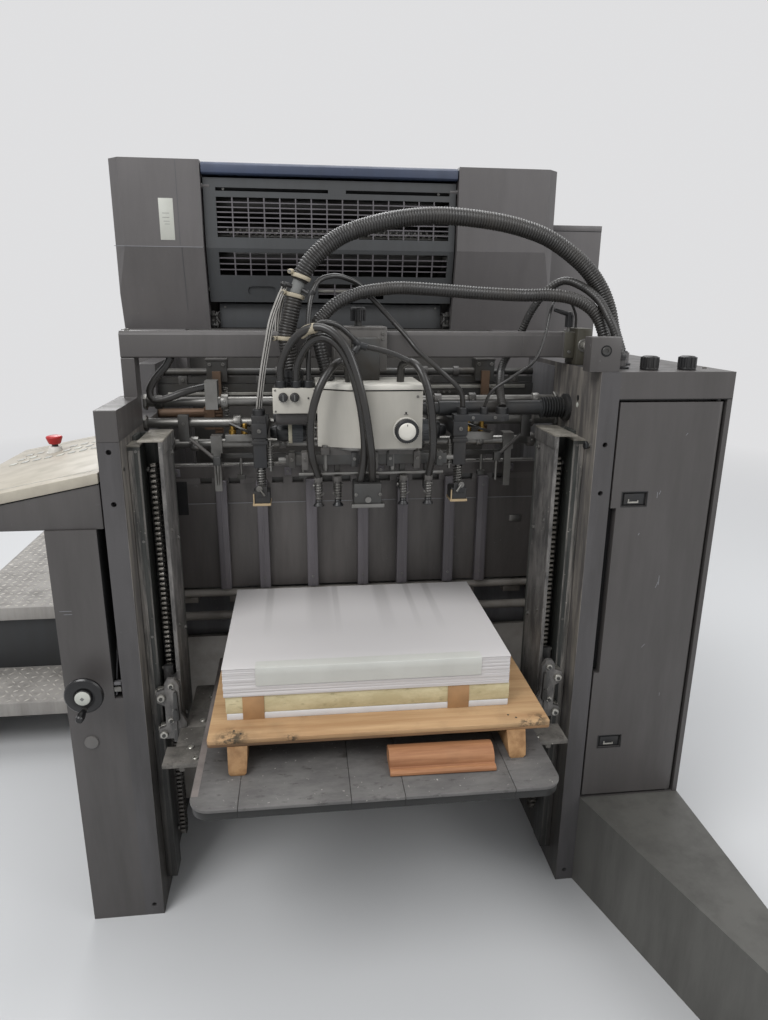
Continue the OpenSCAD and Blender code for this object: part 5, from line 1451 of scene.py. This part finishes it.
make_beam()
make_right_cap()
make_lever()
make_chains()
make_columns()
make_inner_plates()
make_carriages()
make_front_stop()
make_rail_details()
make_feed_tapes()


# Pile board, pallet and paper, in millimetres from the feeder posts

BOARD_TOP = 571
DECK_TOP = 645


def make_board():
    """Planks with near-black lower halves as painted shade; the outer two have rounded front corners."""
    b = Builder(BOARD_TOP_WOOD)
    edges = (-383, -286, -60, 50, 280, 383)
    far, corner = 300, 42
    for low_z, high_z, step, gap, bevel, finish in ((546, 564, 3, 0, 0.6, BOARD_SHADE),
                                                    (564, BOARD_TOP, 0, 0.35, 1.4, BOARD_TOP_WOOD)):
        near = step - 335
        middle = near - step + corner
        for low, high in zip(edges, edges[1:]):
            left = [(low + gap, far), (low + gap, near)]
            right = [(high - gap, near), (high - gap, far)]
            if low == edges[0]:
                left = [(low + step, far)] + arc((low + corner, middle), corner - step, 180, 270, 10)
            if high == edges[-1]:
                right = arc((high - corner, middle), corner - step, 270, 360, 10) + [(high - step, far)]
            b.slab(left + right, low_z, high_z, "Z", bevel, finish)
    b.box((-382, -368), (-290, 298), (BOARD_TOP - 0.4, BOARD_TOP + 0.3), 0, WORN_EDGE)
    # Bars under the planks, near black as painted shade
    for near, beyond in ((-290, -270), (250, 280)):
        b.box((-330, 330), (near, beyond), (537, 546), 1, BOARD_SHADE)
    for x in (-300, 300):
        b.box((x - 12, x + 12), (-270, 250), (537, 546), 1, BOARD_SHADE)
    b.put("board_planks", "dark_grey_paint", "pile_board", body="pile_lift")


def make_pallet():
    b = Builder(PLYWOOD)
    deck = rounded((-356, 390), (-212, 295), 7)
    b.slab(deck, 629, 635, "Z", 0.5, DARK_PLY)
    b.slab(deck, 635, DECK_TOP, "Z", 1.2)
    for x, near in ((-293, -213), (312, -214)):
        b.loft([[(x - half, front, z), (x + half, front, z), (x + half, 285, z), (x - half, 285, z)]
                for half, front, z in ((21, near, 629), (19.5, near - 16, 590), (18.5, near - 20, 578),
                                       (14, near - 18, BOARD_TOP))], RUNNER_WOOD)
        for y in (-190, -60, 110, 255):
            b.bar((x + 6, y, DECK_TOP - 0.6), (x + 6, y, DECK_TOP + 0.3), 2.6, sides=12, finish=DARK_STEEL)
            b.bar((x - 9, y + 12, DECK_TOP - 0.6), (x - 9, y + 12, DECK_TOP + 0.3), 2.6, sides=12,
                  finish=DARK_STEEL)
    b.put("pallet_deck", "wood", "pallet", body="pile_lift")


def make_layer():
    b = Builder(WRAP)
    b.box((-322, 316), (-136, 302), (DECK_TOP + 15, 702.8), 2.5)
    b.box((-320, 314), (-136.6, 302), (DECK_TOP, DECK_TOP + 15), 1.5, BAND)
    for x0, x1 in ((-285, -238), (173, 222)):
        b.box((x0, x1), (-137.8, -120), (DECK_TOP, 702), 0.8, CARDBOARD)
    b.put("layer_stack", "paper", "pile_layer", body="pile_lift")


def make_paper():
    b = Builder(PAPER)
    low, high = 703, 772
    reams = (703, 712, 720, 729, 738, 746, 755, 763.5, 771)
    for k, (z0, z1) in enumerate(zip(reams, reams[1:])):
        shift = (0, 0.5, -0.3, 0.3, -0.5, 0.2, -0.2, 0.3)[k]
        b.box((-325 + shift * 0.7, 313 + shift * 0.7), (-139 + shift, 305), (z0, z1 - 0.1), 0.5)
    b.slab([(-139.6, 770.6), (306, 770.6), (306, 771.4), (120, 772), (-80, 772), (-136, 771.9), (-140, 771)],
           -326, 314, "X", 0, PAPER_TOP)
    fold = [(-112, 772.1), (-112, 772.6), (-136, 772.9), (-139.8, 772.2), (-141.2, 770), (-141.6, 755),
            (-141.2, 729), (-140.7, 729), (-140.9, 755), (-140.6, 769.4), (-139.2, 771.6), (-136, 772.2)]
    b.slab(fold, -254, 247, "X", 0, WRAPPER)
    b.put("paper_stack", "paper", "paper_pile", body="pile_lift")


def make_moulding():
    """A moulded strip that lies a little askew on the board."""
    b = Builder(MOULDING_WOOD)
    middle = Vector((141, -236, BOARD_TOP))
    half = 114
    section = [(-34, 0), (36, 0), (40, 4), (41, 18), (37, 30), (26, 36), (12, 38), (0, 36.5), (-9, 31),
               (-15, 23), (-17.5, 15), (-18, 11.5), (-20, 10), (-25, 11.5), (-31, 11), (-35, 7), (-36, 3)]
    outline = [(middle.y + y, middle.z + z) for y, z in section]
    b.slab(outline, middle.x - half, middle.x + half, "X")
    askew = Matrix.Rotation(math.radians(-0.8), 3, "Z")
    bmesh.ops.rotate(b.shape, verts=b.shape.verts, cent=b.at(middle), matrix=askew)
    b.put("moulding_strip", "wood", "wood_piece", body="pile_lift", smooth=28)


make_board()
make_pallet()
make_layer()
make_paper()
make_moulding()


# Operator side, in millimetres from the feeder posts: the wheel's middle by x and z, the button's by x and y

WHEEL = (-642, 677)
BUTTON = (-815, 480)
SLOPE = math.radians(11.3)
CONSOLE_LEFT = -957
CONSOLE_RIGHT = -FRAME_OUT - 4
CONSOLE_TOP = 1177


def console_height(x):
    return CONSOLE_TOP - (CONSOLE_RIGHT - x) * math.tan(SLOPE)


def add_along_slope(b, x, rise, y, bevel=0.0, finish=None):
    """A slab that follows the console's slope; rise is how far its two faces stand over it."""
    outline = [(end, console_height(end) + up)
               for end, up in ((x[1], rise[0]), (x[1], rise[1]), (x[0], rise[1]), (x[0], rise[0]))]
    b.slab(outline, *y, "Y", bevel, finish)


def make_pedestal_details():
    b = Builder(PLUG_GREY)
    b.bar((-655, 0.5, 522), (-655, -4, 522), 17, 16, sides=36, bevel=1)
    b.box((-592.5, -591.5), (0.5, 296), (640, 1048), 0, DARK_GAP)
    b.slab([(6, 640), (22, 640), (120, 860), (104, 860)], -590, -587, "X", 0.5, WORN_PLATE)
    b.box((-591, -575), (2, 14), (668, 676), 0.6, WORN_PLATE)
    b.box((-591, -575), (0.6, 6), (652, 664), 0.6, STEEL)
    for x, z in ((-690, 860), (-682, 852)):
        b.box((x, -664), (-0.4, 0.3), (z, z + 1), 0, EDGE_GREY)
    b.box((-701.6, -700), (30, 570), (60, 980), 0.5, DARK_PAINT)
    for y in (60, 540):
        for z in (90, 950):
            b.screw((-701.6, y, z), -X, 5, 3)
    b.box((-700, -574), (599, 601), (60, 980), 0.5, DARK_PAINT)
    b.put("pedestal_fittings", "dark_grey_paint")


def make_handwheel():
    b = Builder(WHEEL_BLACK)
    x, z = WHEEL
    rim = [(34, 0), (40, -1), (43, -4), (43, -9), (40, -12), (34, -12), (30, -9), (22, -8), (20, -6), (20, 0),
           (22, 1), (31, 1), (34, 0)]
    b.turned(rim, (x, -60, z), -Y, 56)
    b.bar((x, -60, z), (x, -26, z), 20, sides=40)
    b.bar((x, -66, z), (x, -60, z), 18, 20, sides=40, bevel=1.2)
    b.turned([(0, 9.6), (13, 9.2), (16.4, 7.6), (17, 6), (17, 4)], (x, -60, z), -Y, 40, LIGHT_PLATE)
    b.box((x - 3.4, x + 3.4), (-69.9, -69.2), (z - 3.4, z + 3.4), 0, MARK_GREY, (45, "Y"))
    b.bar((x, -60, z - 31), (x, -72, z - 31), 6, sides=20, finish=STEEL)
    b.turned([(0, 45), (6, 45), (8.6, 42), (9.6, 30), (8, 18), (7, 14), (7, 10)], (x, -61, z - 31), -Y, 28)
    b.put("handwheel_disc", "black_plastic", "handwheel", body="hand_wheel")


def make_console():
    """The console's cream cover over a dark housing, with rows of keys and the seat of the stop button."""
    b = Builder(CONSOLE_CREAM)
    left, right = CONSOLE_LEFT, CONSOLE_RIGHT
    add_along_slope(b, (left, right), (-24, 0), (0, 650), 3)
    add_along_slope(b, (left, right), (-27, -23), (6, 644), finish=DARK_GAP)
    b.slab([(right, 1050), (right, console_height(right) - 26), (left, console_height(left) - 27),
            (left, 1050)], 4, 646, "Y", 1.5, DARK_PAINT)
    for near in (40, 608):
        add_along_slope(b, (left + 8, right - 8), (0, 0.6), (near, near + 2), finish=KEY_GREY)
    x, y = BUTTON
    for k in range(9):
        for row in range(3):
            edge = right - 70 - k * 30
            if abs(edge - x) < 40 and row > 0:
                continue
            key = KEY_GREY if (k + row) % 4 else LIGHT_PLATE
            near = 380 + row * 60
            add_along_slope(b, (edge - 17, edge), (0, 1.6), (near, near + 22), 0.5, key)
    seat = [(0, 15), (8.5, 15), (15, 14.5), (17, 12), (19, 1), (23, -1), (23, -7)]
    b.turned(seat, (x, y, console_height(x)), Z, 40, WHITE_PLASTIC)
    b.put("console_cover", "light_housing", "console_top", "console_body")


def make_button():
    b = Builder(RED_PLASTIC)
    x, y = BUTTON
    seat = console_height(x)
    b.bar((x, y, seat - 4), (x, y, seat + 24), 8, sides=24, finish=BLACK_PLASTIC)
    b.turned([(0, 23), (14, 22.6), (19.5, 21), (21.5, 18.5), (21, 15.5), (16, 2), (14.5, 0), (0, 0)],
             (x, y, seat + 22), Z, 44)
    b.put("button_cap", "red_plastic", "stop_button", body="button", smooth=50)


# Drive side cabinet


def make_door_fittings():
    b = Builder(DARK_GAP)
    for x, z, turn in ((604, 1073, 1), (608, 416, -1)):
        b.box((x + 0.5, x + 60.5), (4.2, 5.4), (z + 0.5, z + 33.5), 0)
        for low, high in (((x - 2, z - 2), (x + 63, z)), ((x - 2, z + 34), (x + 63, z + 36)),
                          ((x - 2, z), (x, z + 34)), ((x + 61, z), (x + 63, z + 34))):
            b.box((low[0], high[0]), (-0.8, 1), (low[1], high[1]), 0.3, BLACK_PLASTIC)
        b.box((x + 6, x + 55), (2, 5), (z + 4, z + 30), 1, BLACK_PLASTIC)
        b.box((x + 15, x + 42), (0.6, 3), (z + 7, z + 11), 0.8, LIGHT_METAL)
        b.bar((x + 17, 1.2, z + 10), (x + 17, 1.2, z + 17), 1.6, sides=10, finish=LIGHT_METAL)
        b.bar((x + 40, 1.2, z + 10), (x + 40, 1.2, z + 14), 1.6, sides=10, finish=LIGHT_METAL)
    for k, (x, z, length) in enumerate(((690, 1092, 14), (696, 1100, 10), (745, 1240, 7), (720, 870, 24),
                                        (716, 862, 16), (700, 700, 12), (760, 560, 9), (655, 1000, 6))):
        b.box((x, x + 1.2), (-0.15, 0.3), (z, z + length), 0, EDGE_GREY, (20 * k % 60, "Y"))
    b.put("door_fittings", "black_plastic", body="door")


def make_cabinet_fittings():
    """Screws and plugs on the cabinet's top, its seams, and a louvre at the rear."""
    b = Builder(DARK_GAP)
    b.box((574, 845), (-0.6, 1), (1324, 1325.6), 0)
    for y in (90, 560):
        for x in (600, 820):
            b.screw((x, y, 1386), Z, 5, 3)
    for x, y, radius in ((650, 200, 20), (600, 145, 15), (608, 92, 10)):
        b.turned([(radius + 0.6, 34), (radius + 3, 33), (radius + 4, 30), (radius + 4, 24), (radius + 6, 22)],
                 (x, y, 1386), Z, 32, BLACK_PLASTIC)
        b.turned([(radius + 12, 0), (radius + 12, 4), (radius + 6.5, 6)], (x, y, 1386), Z, 32, BLACK_PLASTIC)
    b.box((FRAME_OUT + 0.5, 592.5), (23, 26), (636, 1068), 0)
    b.box((846, 847.2), (60, 590), (60, 1300), 0.5, DARK_PAINT)
    for y in (80, 325, 570):
        for z in (90, 1270):
            b.screw((847, y, z), X, 5, 3)
    for k in range(12):
        b.box((700, 800), (619, 622), (1120 + k * 12, 1125 + k * 12), 0.6)
    b.put("cabinet_fittings", "dark_grey_paint")


def make_cabinet_knobs():
    for name, x in (("left", 663), ("right", 755)):
        b = Builder(BLACK_PLASTIC)
        b.bar((x, 55, 1386.4), (x, 55, 1392), 20.5, sides=40, bevel=1)
        add_grip(b, (x, 55, 1391), "Z", 24, 21, 12, 2)
        b.turned([(0, 3.6), (14, 3.4), (18, 1.6), (19, 0)], (x, 55, 1414.4), Z, 40)
        b.box((x - 1, x + 1), (37, 48), (1417.4, 1418.3), 0, PLUG_GREY)
        b.bar((x, 55, 1359), (x, 55, 1388), 6, sides=20)
        b.put("knob_cap_" + name, "black_plastic", "cabinet_knob_" + name, body="knob_" + name)


# Platform with checker plate


def add_lozenges(b, x, y, z, pitch=29):
    """Raised lozenges in alternate directions over a tread, lighter than the plate as painted highlight."""
    before = set(b.shape.faces)
    columns = int((x[1] - x[0] - 16) / pitch)
    rows = int((y[1] - y[0] - 16) / pitch)
    corners = ((-13, 0, -0.2), (0, 4.4, -0.2), (13, 0, -0.2), (0, -4.4, -0.2), (-5, 0, 2), (5, 0, 2))
    for i in range(columns):
        for j in range(rows):
            middle = Vector((x[0] + (x[1] - x[0]) * (i + 0.5) / columns,
                             y[0] + (y[1] - y[0]) * (j + 0.5) / rows, z))
            turn = Matrix.Rotation(math.radians(45 if (i + j) % 2 else -45), 3, "Z")
            points = [b.shape.verts.new(b.at(middle + turn @ Vector(corner))) for corner in corners]
            bmesh.ops.convex_hull(b.shape, input=points)
    b.mark(before, PLATE_HIGHLIGHT)


def make_platform():
    b = Builder(PLATE_PAINT)
    left, right = -1397, -UNIT_SIDE
    b.box((left, right), (1016, 2396), (6, 400), 1, RISER_PAINT)
    b.box((left, right), (994, 2396), (400, 450), 3)
    b.box((left, right), (750, 1016), (150, 200), 3)
    for x in (left, right - 30):
        b.box((x, x + 30), (754, 1016), (6, 151), 1, RISER_PAINT)
    add_lozenges(b, (left + 4, right - 4), (1000, 2392), 450)
    add_lozenges(b, (left + 4, right - 4), (754, 1012), 200)
    for x in (left + 20, right - 20):
        for y in (1040, 2370):
            b.bar((x, y, 0), (x, y, 7), 16, sides=20, finish=BLACK_PLASTIC)
        b.bar((x, 780, 0), (x, 780, 7), 12, sides=20, finish=BLACK_PLASTIC)
    for y in (1160, 1700, 2240):
        b.box((left - 0.6, left + 1), (y - 2, y), (10, 398), 0, BLACK_PLASTIC)
    b.put("platform_treads", "plate_grey", "platform")


# Sides and rear of the unit, drive housing and delivery


def add_door_lines(b, x, y, z):
    """The joint lines of a sheet door on a side face, with two flush latches."""
    for low, high in (((y[0], z[0]), (y[1], z[0] + 3)), ((y[0], z[1] - 3), (y[1], z[1])),
                      ((y[0], z[0]), (y[0] + 3, z[1])), ((y[1] - 3, z[0]), (y[1], z[1]))):
        b.box((x - 0.6, x + 0.6), (low[0], high[0]), (low[1], high[1]), 0)
    for share in (0.25, 0.75):
        height = z[0] + (z[1] - z[0]) * share
        b.box((x - 1.4, x + 1.4), (y[0] + 20, y[0] + 54), (height, height + 60), 0.8, BLACK_PLASTIC)


def make_unit_details():
    b = Builder(DARK_GAP, TOWER)
    side_doors = [(-UNIT_SIDE, (40, 640)), (-UNIT_SIDE, (660, 1260)), (UNIT_SIDE, (40, 140)),
                  (UNIT_SIDE, (1060, 1270))]
    for x, y in side_doors:
        add_door_lines(b, x, y, (60, 1380))
    add_door_lines(b, HOUSING_SIDE, (180, 1020), (60, 1740))
    for k in range(16):
        b.box((HOUSING_SIDE, HOUSING_SIDE + 1.4), (420, 780), (1500 + k * 13, 1505 + k * 13), 0)
        b.box((-UNIT_SIDE - 1.2, -UNIT_SIDE), (420, 600), (300 + k * 13, 305 + k * 13), 0)
    for x in (-UNIT_SIDE, UNIT_SIDE):
        b.box((x - 0.4, x + 0.4), (60, 1090), (FOLD - 0.8, FOLD + 0.8), 0)
    b.box((UNIT_SIDE, HOUSING_SIDE + 0.4), (149.4, 151), (1773, 1789), 0.6, COVER_PAINT)
    b.box((UNIT_SIDE, HOUSING_SIDE + 0.2), (149.6, 151), (1770, 1772), 0)
    for x in (-600, 600):
        for y in (60, 1240):
            b.bar((x, y, 0.5), (x, y, 8), 34, sides=28, finish=BLACK_PLASTIC)
    b.put("panel_lines", "dark_grey_paint")


# The delivery hood's sloping top: its height at the unit's rear, and how far it falls in each millimetre
HOOD_HIGH = 1503.5
HOOD_FALL = 0.2255


def hood_top(y):
    return HOOD_HIGH - y * HOOD_FALL


def make_delivery_details():
    b = Builder(DARK_GAP, DELIVERY)
    for side in (-1, 1):
        x = side * FRAME_OUT
        add_door_lines(b, x, (60, 760), (80, 1080))
        for y, z in ((30, 1380), (30, 700), (30, 60), (880, 1180), (880, 100), (1470, 1120), (1470, 60)):
            b.screw((x, y, z), X * side, 7, 5)
        b.box(span(side, FRAME_IN - 8, FRAME_IN), (1380, 1420), (60, 1080), 2, OILY_PAINT)
    b.box((-280, 280), (1499, 1500.4), (1000, 1019), 0)
    b.box((-284, 284), (1498, 1503), (1018, 1024), 1, STEEL)
    for k in range(14):
        near = 120 + k * 24
        far = near + 12
        b.slab([(near, hood_top(near) + 0.6), (far, hood_top(far) + 0.6), (far, hood_top(far) - 1.5),
                (near, hood_top(near) - 1.5)], -300, 300, "X")
    for y in (560, 860, 1180):
        z = 1060 - (y - 560) * 0.12
        b.bar((-FRAME_IN, y, z), (FRAME_IN, y, z), 14, sides=24, finish=STEEL)
    for k in range(9):
        x = k * 100 - 400
        b.bar((x - 9, 860, 1024), (x + 9, 860, 1024), 24, sides=28, bevel=1.5, finish=BLACK_PLASTIC)
    b.put("delivery_fittings", "machine_steel")


def make_delivered_pile():
    b = Builder(PAPER, DELIVERY)
    b.box((-FRAME_IN, FRAME_IN), (860, 1440), (70, 110), 3, BOARD_PAINT)
    heights = [110 + k * 34.4 for k in range(10)]
    for k, (low, high) in enumerate(zip(heights, heights[1:])):
        shift = (0, 1.6, -1, 1, -1.4, 0.7, -0.6, 1.1, 0)[k]
        b.box((-320 + shift, 320 + shift), (900 + shift, 1346 + shift), (low, high - 0.3), 1.2)
    b.put("delivered_stack", "paper", "delivery_pile")


make_pedestal_details()
make_handwheel()
make_console()
make_button()
make_door_fittings()
make_cabinet_fittings()
make_cabinet_knobs()
make_platform()
make_unit_details()
make_delivery_details()
make_delivered_pile()


# Surroundings

FLOOR_TONE = (0.6, 0.605, 0.61, 1)
BACKDROP_TONE = (0.74, 0.74, 0.75, 1)


def add_seen(tree):
    """One where the camera, metal or glass looks, so that all of these show the plain background."""
    path = tree.nodes.new("ShaderNodeLightPath")
    seen = add_maths(tree, "MAXIMUM", path.outputs["Is Camera Ray"], path.outputs["Is Glossy Ray"])
    return add_maths(tree, "MAXIMUM", seen, path.outputs["Is Transmission Ray"])


def make_floor():
    """A pale floor that fades into the background away from the press."""
    floor = bpy.data.meshes.new("floor")
    shape = bmesh.new()
    bmesh.ops.create_grid(shape, x_segments=1, y_segments=1, size=30)
    shape.to_mesh(floor)
    shape.free()
    ground = bpy.data.objects.new("floor", floor)
    bpy.context.scene.collection.objects.link(ground)
    material, tree, shader, place = new_material("pale_floor")
    shader.inputs["Base Color"].default_value = FLOOR_TONE
    shader.inputs["Roughness"].default_value = 0.8
    reach = tree.nodes.new("ShaderNodeVectorMath")
    reach.operation = "LENGTH"
    tree.links.new(place, reach.inputs[0])
    far = tree.nodes.new("ShaderNodeEmission")
    far.inputs["Color"].default_value = BACKDROP_TONE
    fade = add_range(tree, reach.outputs["Value"], 2.2, 6.5)
    mix = tree.nodes.new("ShaderNodeMixShader")
    tree.links.new(add_maths(tree, "MULTIPLY", fade, add_seen(tree)), mix.inputs["Fac"])
    tree.links.new(shader.outputs["BSDF"], mix.inputs[1])
    tree.links.new(far.outputs["Emission"], mix.inputs[2])
    tree.links.new(mix.outputs["Shader"], tree.nodes["Material Output"].inputs["Surface"])
    floor.materials.append(material)


def make_light():
    """Soft light from all sides with four large lamps; the camera sees a plain pale background."""
    world = bpy.data.worlds.new("studio")
    bpy.context.scene.world = world
    world.use_nodes = True
    tree = world.node_tree
    light = tree.nodes["Background"]
    light.inputs["Color"].default_value = (0.95, 0.97, 1, 1)
    light.inputs["Strength"].default_value = 0.62
    seen = tree.nodes.new("ShaderNodeBackground")
    seen.inputs["Color"].default_value = BACKDROP_TONE
    mix = tree.nodes.new("ShaderNodeMixShader")
    tree.links.new(add_seen(tree), mix.inputs["Fac"])
    tree.links.new(light.outputs["Background"], mix.inputs[1])
    tree.links.new(seen.outputs["Background"], mix.inputs[2])
    tree.links.new(mix.outputs["Shader"], tree.nodes["World Output"].inputs["Surface"])

    lamps = [("key", (-2.2, -3.6, 4.4), 2.6, 120), ("fill", (2.8, -3.0, 3.2), 2.4, 45),
             ("top", (0.2, 0.6, 4.8), 3.5, 110), ("back", (-1.5, 4.0, 3.8), 2.6, 80)]
    for name, place, size, power in lamps:
        data = bpy.data.lights.new(name, "AREA")
        data.shape = "DISK"
        data.size = size
        data.energy = power
        lamp = bpy.data.objects.new(name, data)
        aim = Vector((0, -0.6, 0.9)) - Vector(place)
        lamp.matrix_world = Matrix.Translation(place) @ aim.to_track_quat("-Z", "Y").to_matrix().to_4x4()
        bpy.context.scene.collection.objects.link(lamp)
    bpy.context.scene.view_settings.view_transform = "Standard"


make_floor()
make_light()
